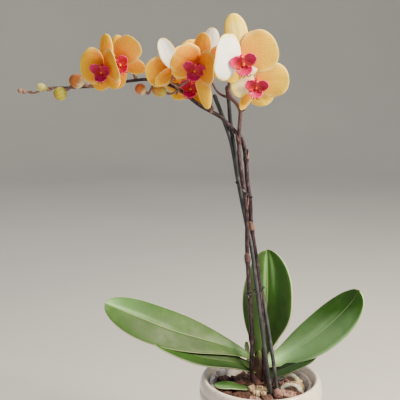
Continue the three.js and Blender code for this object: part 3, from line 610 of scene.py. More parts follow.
def root_look():
    look = Look("root", Roughness=0.7)
    u, _, tone = look.spans()
    skin = look.noise(330, 4)
    look.base = look.ramp(skin, (0.3, "8f9485"), (0.55, "c3c4b6"), (0.8, "e2e0d6"))
    look.blot(80, 3, 0.5, 0.72, 0.65, "8fa06a")
    look.paint(look.times(tone, look.fade(u, 0.86, 1.0)), "7f9a3e")
    return look.done(None, look.plus(skin, look.cells(600)), 0.4, 0.0008)


def bud_look(name, base, skin, tip, cheek):
    look = Look(name, Roughness=0.42, Subsurface_Weight=0.08, Subsurface_Scale=0.003)
    u, v, _ = look.spans()
    along = look.plus(u, look.sway(90, 3, 0.35))
    look.base = look.ramp(along, (0.22, base), (0.48, skin), (0.78, skin), (0.97, tip))
    look.blot(110, 4, 0.45, 0.7, 0.6, cheek)
    lines = look.fade(look.wave(v, 75.0), 0.1, 1.0)
    look.paint(look.times(lines, 0.25), cheek)
    look.paint(look.fade(look.math("ABSOLUTE", look.wave(v, 3 * pi)), 0, 0.1, 0.6, 0), "7c4a26")
    height = look.plus(look.noise(900, 2), lines)
    return look.done(look.gloss(look.noise(500, 2), 0.34, 0.52), height, 0.25, 0.0004)


LOOKS = {
    "petal": petal_look(),
    "column": column_look(),
    "lip": lip_look(),
    "leaf": leaf_look(),
    "sheath": sheath_look(),
    "purple": stem_look("purple_stem", "150c12", "33202d", "b68c76"),
    "brown": stem_look("brown_stem", "180e12", "38272e", "866062"),
    "stake": stake_look(),
    "wire": wire_look(),
    "glaze": glaze_look(),
    "clear": clear_look(),
    "bark": bark_look(),
    "root": root_look(),
    # bud_orange's pale cream base end is partly the bud's own colour and partly a painted highlight.
    "bud_orange": bud_look("bud_orange", "f2dca6", "cc7a30", "b06024", "a04e1e"),
    "bud_green": bud_look("bud_green", "9ea23a", "d2c22c", "c07c24", "b0962c"),
    "bud_pale": bud_look("bud_pale", "8c963e", "e6dc8c", "f4eab4", "a8a448"),
    "bud_turning": bud_look("bud_turning", "c2c03a", "c89a34", "a45a24", "b47a30"),
}

# ---------- Pot and growing pot ----------


def pot_radius(height):
    rise = min(height / POT["widest_height"], 1)
    return mix(POT["foot"], POT["widest"], sin(rise * pi / 2) ** 0.9)


def make_pot():
    form = Form()
    low = pot_radius(FOOT_ROUND)
    profile = [(0, 0), (POT["foot"] - FOOT_ROUND, 0), (low - 1.2, 1.0), (low - 0.2, 2.4)]
    profile += [(pot_radius(height), height) for height in range(FOOT_ROUND, POT["widest_height"] + 1, 7)]
    lip = (POT["widest"] - POT["mouth"]) / 2
    rise = POT["height"] - POT["widest_height"]
    for turn in map(radians, range(0, 181, 15)):
        radius = POT["mouth"] + lip + lip * cos(turn)
        profile.append((radius, POT["widest_height"] + rise * sin(turn)))
    # From here the profile runs down the inside, which the glaze paints in shade.
    shade_from = len(profile)
    steps = 6
    for (wide, high), (narrow, deep) in zip(POT_INSIDE, POT_INSIDE[1:]):
        profile += [(mix(wide, narrow, t / steps), mix(high, deep, t / steps)) for t in range(1, steps + 1)]
    profile += [(POT_INSIDE[-1][0] * 0.6, POT["floor"]), (0, POT["floor"])]
    turned(form, profile, sides=144, shade_from=shade_from)
    finished(form, "glazed_pot", ["glaze"], "pot")


def liner_radius(height):
    return mix(LINER["foot"], LINER["top"], height / LINER["height"])


def make_liner():
    form = Form()
    low, top, wall = POT["floor"] + GAP, LINER["height"], LINER["wall"]
    steps = 10
    straight = top - 3 - low
    wall_heights = [low + straight * t / steps for t in range(steps + 1)]
    brim = liner_radius(top) + LINER["flange"]
    profile = [(0, low)] + [(liner_radius(height), height) for height in wall_heights]
    profile += [(brim, top - LINER["flange_height"]), (brim, top), (liner_radius(top) - wall, top)]
    profile += [(liner_radius(height) - wall, max(height, low + wall)) for height in reversed(wall_heights)]
    turned(form, [*profile, (0, low + wall)], sides=96)
    finished(form, "growing_pot", ["clear"], "liner_pot")


# ---------- Bark ----------

# Chunks that show at the front of the pot: centre, size, turn about Z, tilt about X and Y, and paleness.
SHOWN_CHUNKS = [
    ((-18.5, 6.5, 118), (26, 12, 12), 8, (6, -5), 0.1),
    ((-41, 26, 112.5), (18, 12, 9), 55, (8, 6), 0.12),
    ((-26, -26, 114), (27, 15, 9), 12, (8, -6), 0.0),
    ((-4, -38, 112.5), (15, 12, 9), 60, (12, 10), 0.8),
    ((28, -18, 113.5), (27, 13, 9), -14, (10, 8), 0.6),
    ((24, -38, 112), (21, 13, 9), 20, (6, -8), 0.1),
    ((-10, -4, 115), (9, 7, 8), 30, (10, 0), 1.0),
    ((-2, -5, 116), (9, 8, 7), 80, (0, 14), 1.0),
    ((-6, -13, 114.5), (9, 7, 7), 10, (-12, 6), 0.95),
    ((3, -12, 113.5), (8, 6, 7), 50, (8, 10), 0.9),
    ((6, -24, 112), (19, 12, 8), 100, (-8, 14), 0.15),
    ((-38, -8, 113), (18, 13, 9), 80, (6, -12), 0.1),
    ((36, -12, 112.5), (20, 13, 8), 130, (-10, 4), 0.1),
]
LOOSE_CHUNKS = 88
CHUNK_SPREAD = 49
CHUNK_CLEARANCE = 11
CHUNK_TONES = (0.0, 0.0, 0.05, 0.15, 0.3, 0.6, 0.9)
CHUNK_ROUGHNESS = 0.34
GOLDEN_ANGLE = radians(137.5)
BARK_SEED = 20


def loose_chunks():
    """Chunks spread evenly over the bark by the golden angle, clear of the chunks that show."""
    draw = random.Random(BARK_SEED)
    for i in range(LOOSE_CHUNKS):
        away = sqrt((i + 0.5) / LOOSE_CHUNKS) * CHUNK_SPREAD
        turn = i * GOLDEN_ANGLE
        centre = (away * cos(turn), away * sin(turn), BARK_LEVEL - 1 + draw.uniform(-2.5, 2.0))
        size = (draw.uniform(13, 24), draw.uniform(9, 14), draw.uniform(6, 9))
        tilt = (draw.uniform(-24, 24), draw.uniform(-24, 24))
        pale = draw.choice(CHUNK_TONES)
        yaw = draw.uniform(0, 180)
        if min(dist(centre[:2], shown[0][:2]) for shown in SHOWN_CHUNKS) > CHUNK_CLEARANCE:
            yield centre, size, yaw, tilt, pale


def make_bark():
    form = Form()
    low = POT["floor"] + LINER["wall"] + 2 * GAP

    def inside(height):
        return liner_radius(height) - LINER["wall"] - GAP

    bed = [(0, low), (inside(low), low), (inside(60), 60), (inside(BARK_LEVEL - 6), BARK_LEVEL - 6),
           (20, BARK_LEVEL - 3), (0, BARK_LEVEL - 3)]
    turned(form, bed, sides=64)
    for seed, (centre, size, yaw, tilt, pale) in enumerate([*SHOWN_CHUNKS, *loose_chunks()], 1):
        turn = spin((0, 0, 1), yaw) @ spin((1, 0, 0), tilt[0]) @ spin((0, 1, 0), tilt[1])
        lump(form, size, turn.to_matrix(), Vector(centre), CHUNK_ROUGHNESS, seed, pale, inside)
    finished(form, "bark_chunks", ["bark"], "bark_mix")


# ---------- Crown, leaves and roots ----------

# Dry leaf sheaths that wrap the stump: where each starts and ends up it, and its middle and width in degrees.
SHEATHS = [(0.30, 0.62, 200, 170), (0.42, 0.74, 330, 160), (0.5, 0.86, 90, 170), (0.62, 0.95, 230, 150),
           (0.7, 0.99, 20, 150)]


def make_crown():
    form = Form()
    x, y = CROWN["x"], CROWN["y"]
    line = Route([(x + 1, y - 1, CROWN["bottom"]), (x, y, 116), (x - 1, y, 134), (x, y + 1, CROWN["top"])])

    def radius(t):
        return mix(CROWN["radius"], 3.0, t**2.5) * (1 + 0.05 * sin(t * 19)) - 0.4

    tube(form, line, radius, sides=40, rings=60, round_foot=False)
    for number, (low, high, middle, width) in enumerate(SHEATHS):

        def flap(u, v):
            t = mix(low, high, u)
            angle = radians(middle + width / 2 * v * (1 - 0.55 * u**2))
            reach = radius(t) + 0.9 + 0.7 * sin(3 * angle + 5 * t) * u + 1.2 * u**3
            return line.at(t) + Vector((cos(angle), sin(angle), 0)) * reach

        blade(form, flap, SHEATH_THICKNESS, rows=16, columns=22, tone=0.12 * number)
    finished(form, "leaf_sheaths", ["sheath"], "crown")


def leaf_outline(t, widest, base, roundness):
    if t < widest:
        return mix(base, 1, sin(pi * t / (2 * widest)) ** 1.3)
    return max((1 - ((t - widest) / (1 - widest)) ** roundness) ** 0.5 if t < 1 else 0, 0.03)


# Midrib, half width, the way its side points, fold in degrees at base and tip, widest place, width of the
# base, roundness of the end, and four tones of painted light: base and tip on one side, then on the other.
# Above 0 is a painted sheen, below 0 painted shade.
LEAVES = {
    "leaf_1": (
        [(-8, 12.5, 146), (-26, 8, 156.5), (-52.4, 2, 168.8), (-96.5, -8, 186.4), (-138.4, -14, 205.5),
         (-174.5, -16, 222)],
        25, (0, 0.72, 0.69), (14, -12), 0.66, 0.12, 2.3, (-0.2, -0.05, 0.0, 0.2)),
    "leaf_2": (
        [(0, 18, 143), (3, 22, 158), (5.3, 27, 175.5), (8.9, 34, 209.5), (9.7, 42, 237.5), (9.3, 50, 266)],
        33, (1, 0, 0), (34, 24), 0.5, 0.22, 1.9, (-0.5, -0.25, -0.6, -0.45)),
    "leaf_3": (
        [(6, 17, 138), (24.2, 22, 142.4), (57.9, 16, 167), (85, 10, 193.5), (104, 6, 218), (110.5, 5, 230)],
        25.5, (0.25, -0.72, -0.65), (12, -8), 0.6, 0.26, 2.3, (0.1, -0.35, 0.15, -0.2)),
    "leaf_4": (
        [(-8, 10, 134), (-29.8, -2, 146), (-69.5, -16, 159), (-108.2, -23, 174.5), (-122, -25, 181)],
        15, (0, 0.93, 0.37), (16, 6), 0.5, 0.5, 2.3, (-0.45, -0.1, -0.55, -0.3)),
    "leaf_5": (
        [(7, 12, 126), (20, 11, 131), (34, 9, 137.5), (50, 7, 145.5), (64, 5, 152)],
        12.5, (0.1, -0.93, -0.36), (14, 4), 0.4, 0.62, 2.3, (-1.0, -0.9, -0.7, -0.6)),
    "leaf_6": (
        [(-9, 0, 113.5), (-23, -5, 117.5), (-38, -8, 121), (-53, -9, 122.5)],
        6.6, (0, 0.97, 0.26), (18, 8), 0.72, 0.2, 1.8, (0.1, 0.3, -0.15, 0.1)),
}

# Painted sheen on a leaf: its place along and across the leaf, how far it reaches each way, and how much it
# adds; a gain below 0 paints shade instead.
PAINTED_SHEENS = {
    "leaf_1": [(0.93, 0.72, 0.14, 0.2, 0.7), (0.75, 0.56, 0.25, 0.05, 0.5), (0.06, 0.5, 0.14, 0.5, 0.5),
               (0.35, 0.7, 0.2, 0.3, -0.1), (0.5, 0.25, 0.25, 0.2, -0.25), (0.92, 0.25, 0.12, 0.2, 0.2)],
    "leaf_2": [(0.6, 0.43, 0.35, 0.07, 0.9), (0.62, 0.59, 0.3, 0.035, 0.35), (0.65, 0.65, 0.35, 0.06, 0.8),
               (0.7, 0.99, 0.4, 0.03, 1.2), (0.5, 0.15, 0.5, 0.22, -0.5)],
    "leaf_3": [(0.06, 0.45, 0.2, 0.4, 0.8), (0.3, 0.42, 0.3, 0.08, 0.3), (0.55, 0.8, 0.25, 0.25, 0.25),
               (0.38, 0.5, 0.2, 0.5, 0.25), (0.6, 0.985, 0.35, 0.03, 0.9)],
    "leaf_4": [(0.2, 0.1, 0.3, 0.12, -0.5)],
}


def make_leaf(name, midrib, half_width, side, fold, widest, base, roundness, painted_tones):
    form = Form()
    line = Route(midrib)
    side = Vector(side)
    phase = len(midrib) + half_width

    def surface(u, v):
        t = sin(u * pi / 2) ** 1.15
        along = line.tangent(t)
        across = (side - along * along.dot(side)).normalized()
        face = across.cross(along)
        wave = 1 + 0.015 * sin(14 * t + phase + 2 * v)
        width = half_width * leaf_outline(t, widest, base, roundness) * wave
        slant = radians(mix(*fold, t))
        lift = width * (sqrt(v * v + 0.03) - sqrt(0.03)) * sin(slant)
        lift -= 0.5 * exp(-((v / 0.06) ** 2)) * (1 - t * 0.5)
        lift += 0.45 * abs(v) ** 3 * sin(11 * t + phase + 3 * v) * smoothstep(0, 0.3, t)
        return line.at(t) + across * (width * v * cos(slant)) + face * lift

    def pale(u, v):
        """The painted light on the leaf: a painted sheen above 0 or, below 0, painted shade."""
        one, other = [mix(*pair, smoothstep(0.1, 0.95, u)) for pair in (painted_tones[:2], painted_tones[2:])]
        painted_sheen, across = 0.0, v / 2 + 0.5
        for centre_u, centre_v, reach_u, reach_v, gain in PAINTED_SHEENS.get(name, []):
            painted_sheen += gain * exp(-(((u - centre_u) / reach_u) ** 2) - ((across - centre_v) / reach_v) ** 2)
        return mix(one, other, smoothstep(-0.06, 0.06, v)) + painted_sheen

    blade(form, surface, LEAF_THICKNESS, rows=56, columns=26, tone=pale, thin=0.5)
    finished(form, name + "_blade", ["leaf"], name)


ROOTS = {
    "root_1": [
        (22, 21, 106), (25, 20.8, 116), (33, 20.5, 122), (41.5, 18, 120.5), (45.5, 16, 112),
        (45.5, 15, 105),
    ],
    "root_2": [
        (22, 1.5, 104), (25, 1.2, 113.5), (32, -0.5, 118.5), (40, -3, 118.5), (46, -5.7, 111.5),
        (47, -7, 104),
    ],
    "root_3": [(5, 24, 122), (12, 33, 140), (19, 37, 153), (22.5, 38.5, 159)],
    "root_4": [(-7, 22, 122), (-12, 30, 138), (-14, 34, 151), (-14.5, 35, 158)],
}
AERIAL_ROOTS = ("root_3", "root_4")


def make_root(name, points):
    """A root. An aerial one has a green tip that narrows and ends a little short of its last point."""
    form = Form()
    aerial = name in AERIAL_ROOTS
    if aerial:
        points = [*points[:-1], Vector(points[-1]).lerp(Vector(points[-2]), 0.3)]

    def radius(t):
        swell = 1 + 0.1 * sin(9 * t) + 0.03 * sin(37 * t)
        return ROOT_RADIUS * swell * (1 - 0.25 * smoothstep(0.9, 1, t) * aerial)

    tube(form, Route(points), radius, sides=20, rings=46, tone=float(aerial))
    finished(form, name + "_skin", ["root"], name)


# ---------- Sticks and stems ----------

STAKES = {
    "stake_front": [
        (21, -19, 40), (11, -14, 112.7), (-5.9, -6, 234), (-12.9, -1, 284.5), (-18.5, 2.8, 310),
        (-28.2, 7, 358.7), (-35.5, 9, 398.2), (-44.4, 11, 424.2), (-53.6, 12, 448),
    ],
    "stake_rear": [
        (24, -10, 40), (17.8, -3.5, 122), (13.9, 1.8, 150), (8.1, 7, 186), (0.4, 8, 229),
        (-7.2, 8.5, 267.8), (-16.9, 10.5, 308), (-25.7, 13, 361), (-29.2, 14, 377.7), (-33.2, 15, 400),
        (-36.6, 17, 424), (-37.8, 18, 440.2), (-40, 19, 456),
    ],
}

SPIKE_LEFT = [
    (0, 9, 114), (4.2, 2.5, 133), (4.3, 2, 150), (2.9, 3.5, 181), (-2.5, 2, 229), (-6, 2.2, 262),
    (-9.3, 3.4, 285), (-11.2, 4.4, 296), (-12.9, 4.4, 308), (-14.3, 4.5, 334), (-17.7, 8, 358.5),
    (-18.8, 11, 378), (-20.4, 12.2, 389), (-24, 12.2, 402), (-30, 10.5, 408.5), (-35.7, 7.5, 414.6),
    (-42.4, 3.2, 421.5), (-46.8, 1, 426.1), (-60.9, 0.5, 433.9), (-69.5, 1, 438.7), (-80.2, 2.2, 446.7),
    (-87.5, 1.8, 452.6), (-95.1, 0.5, 457.4), (-104.7, 0, 461.6), (-122.8, 0, 466.3), (-144.2, 0, 464.8),
    (-176.3, 0, 459.5), (-208.4, 0, 457.9), (-229.8, 0, 457.4), (-240.6, 0, 454.2), (-247.1, 0, 452.1),
    (-253.5, 0, 453.1), (-259.8, 0, 455.2), (-263.3, 0, 455.2),
]

SPIKE_RIGHT = [
    (-5, 9, 112), (-10, 1, 131), (-10.6, -2.6, 152), (-10.4, -3.4, 173), (-14.7, -5, 233),
    (-16.1, -5.4, 257), (-17.6, -5.2, 285.5), (-17.8, -4.7, 308), (-19, -3, 330), (-21.3, -1, 346.5),
    (-26.4, 2, 379.3), (-27, 4.5, 395.5), (-27.1, 5, 408.6), (-26.1, 6, 422.6), (-26.1, 7.5, 433.3),
    (-30.5, 8, 440.8), (-36, 8, 446.2), (-39.3, 9, 454.8),
]


def make_stake(name, points):
    form = Form()
    tube(form, Route(points), lambda t: STAKE_RADIUS + 0.04 * sin(90 * t), sides=20, rings=90)
    finished(form, name + "_rod", ["stake"], name)


# ---------- Flowers ----------

# A tepal's direction and forward swing in degrees, its length and half width, how it curls along and arches
# across as shares of these, how far in front of the flower's middle it is set, and its tone, which paints
# light: above 0 a sunlit wash up to white at 1, and below 0 a deeper orange painted as shade.
SEPAL = {"length": 35, "half": 10.5, "swing": -2, "curl": 0.02, "arch": 0.2, "set": -1.6, "tone": 0.0}
PETAL = {"length": 38, "half": 21, "swing": 12, "curl": -0.04, "arch": 0.12, "set": 0.4, "tone": 0.0}
TEPALS = {
    "dorsal": {**SEPAL, "angle": 90, "length": 42, "half": 12, "swing": 4, "curl": -0.05},
    "sepalLeft": {**SEPAL, "angle": 232},
    "sepalRight": {**SEPAL, "angle": 308},
    "petalLeft": {**PETAL, "angle": 168},
    "petalRight": {**PETAL, "angle": 12},
}
BROAD = 14

# Place, turn to the left, nod, roll to the left, size and what differs from TEPALS.
# Each tone here is painted light: a sunlit wash up to white above 0, a deeper orange for shade below 0.
BLOOMS = {
    "1": ((-167.8, -24, 479.7), 22, 6, -6, 0.84, {
        "dorsal": {"length": 40, "half": 9.5},
        "petalLeft": {"angle": 180, "swing": 12, "length": 31, "half": 23},
        "petalRight": {"angle": 20, "swing": 37, "length": 32, "half": 21},
        "sepalLeft": {"angle": 246, "length": 31, "half": 14},
        "sepalRight": {"angle": 302, "length": 28, "half": 11},
    }),
    "2": ((-154.3, -8, 485.6), 5, 4, 33, 0.8, {
        "dorsal": {"angle": 62, "length": 33, "half": 10, "swing": -4, "tone": 0.25},
        "petalLeft": {"swing": 5, "length": 29, "tone": 0.15},
        "petalRight": {"angle": 18, "swing": 26, "length": 41, "half": 18.5, "tone": 0.2},
    }),
    "3": ((-72, -28, 481.8), 14, 8, -15, 0.88, {
        "dorsal": {"length": 38, "half": 11, "tone": -0.35},
        "petalLeft": {"angle": 159, "swing": 38, "length": 33, "tone": -0.25},
        "petalRight": {"swing": 48, "length": 35, "tone": -0.35},
        "sepalLeft": {"angle": 208, "length": 31, "swing": 22, "tone": -0.2},
        "sepalRight": {"angle": 296, "length": 52, "half": 8.5, "tone": 0.15},
    }),
    "4": ((-77, 6, 459.6), 12, -5, -12, 0.84, {
        "petalLeft": {"swing": 0},
        "petalRight": {"swing": 30, "length": 24, "half": 12},
        "sepalLeft": {"angle": 218, "length": 31},
        "sepalRight": {"angle": 318, "length": 30, "half": 10},
    }),
    "5": ((-97, -17, 478), 165, -4, -24, 0.76, {
        "dorsal": {"length": 44, "half": 11.5, "tone": 1.0},
        "sepalLeft": {"length": 20, "swing": 25},
        "sepalRight": {"length": 32, "angle": 345, "half": 9},
    }),
    "6": ((-27.4, -28, 488.8), -6, 4, 12, 1, {
        "dorsal": {"length": 45, "half": 12.5, "tone": 0.5},
        "petalLeft": {"swing": 42, "angle": 160, "half": 24, "tone": 1.0},
        "petalRight": {"angle": 10, "half": 22.5, "tone": 0.18},
        "sepalLeft": {"length": 26, "angle": 232, "tone": 0.35},
        "sepalRight": {"length": 20, "angle": 300, "swing": 12, "tone": 0.8},
    }),
    "7": ((-11, -10, 464.3), -4, 10, -4, 0.9, {
        "dorsal": {"length": 34, "swing": -6, "tone": 0.85},
        "petalLeft": {"swing": 20, "angle": 190, "half": 16, "length": 30, "tone": 0.6},
        "sepalLeft": {"angle": 245, "length": 36, "half": 6.5, "swing": 14},
        "sepalRight": {"angle": 302, "length": 31, "half": 16, "tone": 0.3},
        "petalRight": {"tone": 0.3},
    }),
    "8": ((-61.9, 22, 485.1), 8, 4, -10, 0.84, {"sepalRight": {"length": 23}, "dorsal": {"tone": 1.0}}),
}

# A lip has two side lobes and two whiskers, given here for +X, and a middle lobe.
SIDE_LOBE = {"foot": (2.6, -6, 7), "tip": (12.2, 3.6, 11.5), "half": 6.4, "lean": (-0.71, 0.71, 0),
             "cup": 0.34, "frill": 0.3, "rows": 20, "columns": 12}
MIDDLE_LOBE = {"foot": (0, -4.8, 6), "tip": (0, -16.6, 11.8), "half": 8.4, "lean": (1, 0, 0), "cup": 0.22,
               "frill": 0.4, "rows": 22, "columns": 16}
WHISKER = [(0.8, -15.4, 11.6), (2.2, -17.4, 12.6), (4, -17.4, 13.8), (4.6, -15.8, 14.6), (3.6, -14.6, 14.6)]


def make_tepal(form, shape, seed):
    angle, tilt = radians(shape["angle"]), radians(shape["swing"])
    outward = Vector((cos(angle), sin(angle), 0))
    across = Vector((-outward.y, outward.x, 0))
    front = Vector((0, 0, 1))
    along = outward * cos(tilt) + front * sin(tilt)
    face = front * cos(tilt) - outward * sin(tilt)
    broad = shape["half"] > BROAD

    def surface(u, v):
        phase = pi * (0.055 + 0.93 * u)
        reach = (1 - cos(phase)) / 2
        ripple = 1 + 0.018 * sin(13 * reach + seed * 2.1 + 2 * v)
        width = shape["half"] * sin(phase) ** (0.86 if broad else 0.95) * ripple
        depth = shape["length"] * shape["curl"] * reach**2 - shape["arch"] * width * v * v
        depth -= 0.45 * exp(-((v / 0.09) ** 2)) * sin(phase)
        wave = sin(10 * reach + seed * 1.7 + (2.2 if v > 0 else 0))
        depth += (0.9 if broad else 0.35) * abs(v) ** 3 * wave * sin(phase)
        root = front * shape["set"]
        return root + along * (1 + shape["length"] * reach) + across * (width * v) + face * depth

    columns = 20 if broad else 14
    blade(form, surface, TEPAL_THICKNESS, rows=30, columns=columns, tone=shape["tone"], thin=0.4)


def make_lobe(form, shape, side=1):
    """A lobe of the lip, mirrored in X where side is -1."""
    foot, tip, lean = Vector(shape["foot"]), Vector(shape["tip"]), Vector(shape["lean"])
    foot.x, tip.x, lean.y = foot.x * side, tip.x * side, lean.y * side
    half = shape["half"]
    along = tip - foot
    across = (lean - along * along.dot(lean) / along.length_squared).normalized()
    face = along.normalized().cross(across)

    def surface(u, v):
        phase = pi * (0.1 + 0.87 * u)
        reach = (1 - cos(phase)) / 2
        width = half * sin(phase) ** 0.7
        lift = shape["cup"] * half * (v * v + (2 * reach - 1) ** 2)
        lift += shape["frill"] * abs(v) ** 3 * sin(9 * reach + 2 * v)
        return foot + along * reach + across * (width * v) + face * lift

    blade(form, surface, LIP_THICKNESS, shape["rows"], shape["columns"], thin=0.3)


def bloom_matrix(place, turn, nod, roll, size):
    """Stands a flower, built facing +Z with its top at +Y, in its place and turned."""
    turned_by = spin((0, 0, 1), -turn) @ spin((1, 0, 0), 90 + nod) @ spin((0, 0, 1), roll)
    return Matrix.Translation(place) @ turned_by.to_matrix().to_4x4() @ Matrix.Scale(size, 4)


def make_bloom(name, place, turn, nod, roll, size, special):
    matrix = bloom_matrix(place, turn, nod, roll, size)
    form = Form()
    for number, (key, shape) in enumerate(TEPALS.items()):
        make_tepal(form, {**shape, **special.get(key, {})}, number + int(name))
    form.look = 1
    egg(form, (0, 0, -5.2), (0, 0, 3.2), 4.2, sides=24, rings=12)
    column = Route([(0, 0.5, -1), (0, 1, 4), (0, 2.6, 10)])
    tube(form, column, lambda t: 2.5 + 0.9 * sin(2.6 * t), sides=24, rings=16)
    egg(form, (0, 5.0, 8.8), (0, 1.2, 12.4), 1.9, sides=20, rings=10, tone=0.85)
    finished(form, "flower_" + name, ["petal", "column"], "bloom_" + name, matrix)

    form = Form()
    for side in (1, -1):
        make_lobe(form, SIDE_LOBE, side)
        whisker = Route([(side * x, y, z) for x, y, z in WHISKER])
        tube(form, whisker, lambda t: mix(0.65, 0.3, t), sides=8, rings=24)
    make_lobe(form, MIDDLE_LOBE)
    egg(form, (0, -8.5, 7.6), (0, -3.5, 8.4), 2.5, sides=18, rings=10)
    egg(form, (0, -6.8, 9.0), (0, -3.2, 10.2), 1.5, sides=14, rings=8, tone=1.0)
    finished(form, "flower_lip_" + name, ["lip"], "lip_" + name, matrix)


# ---------- Buds ----------

# Base, tip, radius, look and slot of each bud.
BUDS = {
    "bud_1": ((-232.5, -5.2, 456.4), (-242.5, -8.2, 460.2), 4.4, "bud_pale", "bud_green"),
    "bud_2": ((-211.5, -8.5, 455.2), (-223.5, -11, 448.8), 7.4, "bud_green", "bud_green"),
    "bud_3": ((-193, -5, 461.5), (-207, -9, 469), 7.6, "bud_orange", "bud_orange"),
    "bud_4": ((-128, 1, 453), (-138, -2, 459.5), 6, "bud_orange", "bud_orange"),
    "bud_5": ((-105.5, -6, 452.5), (-120, -8.5, 457), 6.4, "bud_turning", "bud_green"),
}


def make_bud(name, base, tip, radius, look, slot):
    form = Form()
    egg(form, base, tip, radius, sides=36, rings=20, belly=0.46, seams=0.1)
    finished(form, name + "_skin", [look], name)


# ---------- Flower stems ----------


def bloom_seat(name):
    """The last two points of the stalk that ends behind a flower."""
    matrix = bloom_matrix(*BLOOMS[name][:5])
    return [matrix @ Vector((0, -1, -8.6)), matrix @ Vector((0, 0, -5.6))]


def bud_seat(name):
    base, tip = Vector(BUDS[name][0]), Vector(BUDS[name][1])
    away = (base - tip).normalized()
    return [base + away * 3.5, base + away * GAP]


STALKS_LEFT = [
    [(-57.5, -1, 432), (-57.5, 8, 439), (-60, 17, 450), (-69, 20, 461), *bloom_seat("4")],
    [(-95.1, 0.5, 457.4), (-91.5, -8, 459.5), (-83, -15.5, 466), *bloom_seat("3")],
    [(-91.5, -8, 459.5), (-95.5, -15.5, 461.5), (-99, -22, 465.5), *bloom_seat("5")],
    [(-137.8, 0, 465.6), (-141.5, 5, 474), *bloom_seat("2")],
    [(-180, 0, 459.3), (-177, -6, 468), *bloom_seat("1")],
    [(-228, 0, 457.2), *bud_seat("bud_1")],
    [(-203, 0, 458), (-207, -4, 459.5), *bud_seat("bud_2")],
    [(-185, 0, 458.9), *bud_seat("bud_3")],
    [(-117, 0, 465.2), (-121.5, 1, 457), *bud_seat("bud_4")],
    [(-93, 0, 456), (-97, -3, 452.5), *bud_seat("bud_5")],
]

STALKS_RIGHT = [
    [(-26.1, 7.2, 431.5), (-18.8, 5, 440), (-16, 1, 450), *bloom_seat("7")],
    [(-39.3, 9, 453.8), (-37.5, 4, 466), (-31, -8, 481), *bloom_seat("6")],
    [(-35, 8, 445.2), (-46.7, 16, 449.5), (-53, 29, 456), (-59, 36, 470), *bloom_seat("8")],
]

TIP_BUDS = [((-262, -0.5, 454.6), 2.6), ((-257, -1.5, 452.8), 2.1), ((-250.5, -1, 453), 1.9)]
KNOTS_LEFT = (0.2, 0.34, 0.482)
KNOTS_RIGHT = (0.18, 0.45, 0.63, 0.83)
KNOT_REACH = 3.2


def left_radius(t):
    return mix(STEM_RADIUS, STEM_TIP_RADIUS, max(0, (t - 0.5) / 0.5))


def right_radius(t):
    return mix(STEM_RADIUS + 0.15, 2.1, t)


def bract(form, route, place, radius, turn, length):
    """A small pointed scale that hugs a stem from `place` upwards."""
    share = length / route.length

    def surface(u, v):
        t = min(place + share * u, 1)
        along = route.tangent(t)
        first = along.orthogonal().normalized()
        second = along.cross(first)
        angle = turn + 1.9 * v * (1 - u**1.3) ** 0.8
        reach = radius + 0.35 + 0.9 * u**2
        return route.at(t) + (first * cos(angle) + second * sin(angle)) * reach

    blade(form, surface, BRACT_THICKNESS, rows=10, columns=10, tone=0.35)


def make_spike(name, points, radius_at, knots, stalks, slot, node, tips=()):
    form = Form()
    route = Route(points)

    def radius(t):
        swell = sum(exp(-(((t - knot) * route.length / KNOT_REACH) ** 2)) for knot in knots)
        return radius_at(t) * (1 + 0.33 * swell)

    tube(form, route, radius, sides=18, rings=260, round_foot=False)
    for number, knot in enumerate(knots):
        bract(form, route, knot, radius(knot) - 0.1, 1.3 + 2.4 * number, 11)
    for number, stalk in enumerate(stalks):
        branch = Route(stalk)
        tube(form, branch, lambda t: STALK_RADIUS * (1 + 0.12 * cos(6 * t)), sides=12, rings=30, tone=0.45)
        bract(form, branch, 0.02, STALK_RADIUS + 0.2, number * 2.0, 5)
    for spot, size in tips:
        up = Vector((0, 0, size))
        egg(form, Vector(spot) - up, Vector(spot) + up, size, sides=14, rings=8, tone=0.6)
    finished(form, name, [slot], node)


# ---------- Wire ties ----------

LOOP_STEPS = 72
WIRE_SIDES = 10


def on_plane(route, level, slope):
    """Where a route crosses the plane that lies at `level` on the Z axis and rises by `slope` along X."""
    low, high = 0.0, 1.0
    for _ in range(30):
        middle = (low + high) / 2
        spot = route.at(middle)
        low, high = (middle, high) if spot.z - slope * spot.x < level else (low, middle)
    return route.at(low)


def make_tie(name, node, rods, level, slope, tail=None):
    """A wire wound once round rods in a sloping plane. A tail gives its loop point and how far it runs."""
    form = Form()
    held = [(on_plane(route, level, slope), radius) for route, radius in rods]
    loop = []
    for _, c, s in circle(LOOP_STEPS):
        out = Vector((c, s, 0))
        centre, radius = max(held, key=lambda one: one[0].dot(out) + one[1])
        spot = centre + out * (radius + WIRE_RADIUS + 2.8 * GAP)
        loop.append(Vector((spot.x, spot.y, level + slope * spot.x)))
    grid = []
    for i, spot in enumerate(loop):
        ahead = (loop[(i + 1) % LOOP_STEPS] - loop[i - 1]).normalized()
        outward = ahead.cross(Vector((0, 0, 1))).normalized()
        upward = outward.cross(ahead)
        grid.append(hoop(spot, outward * WIRE_RADIUS, upward * WIRE_RADIUS, WIRE_SIDES, i / LOOP_STEPS, 0))
    ids = form.sheet(grid, wrap=True)
    for k in range(WIRE_SIDES):
        j = (k + 1) % WIRE_SIDES
        form.face(ids[-1][k], ids[0][k], ids[0][j], ids[-1][j])
    if tail:
        start = loop[tail[0]]
        x, y, z = tail[1]
        ends = [start, start + Vector((x / 2, y, z / 2)), start + Vector((x, y, z))]
        tube(form, Route(ends), lambda t: WIRE_RADIUS, WIRE_SIDES, rings=12)
    finished(form, name, ["wire"], node)


# ---------- The whole plant ----------

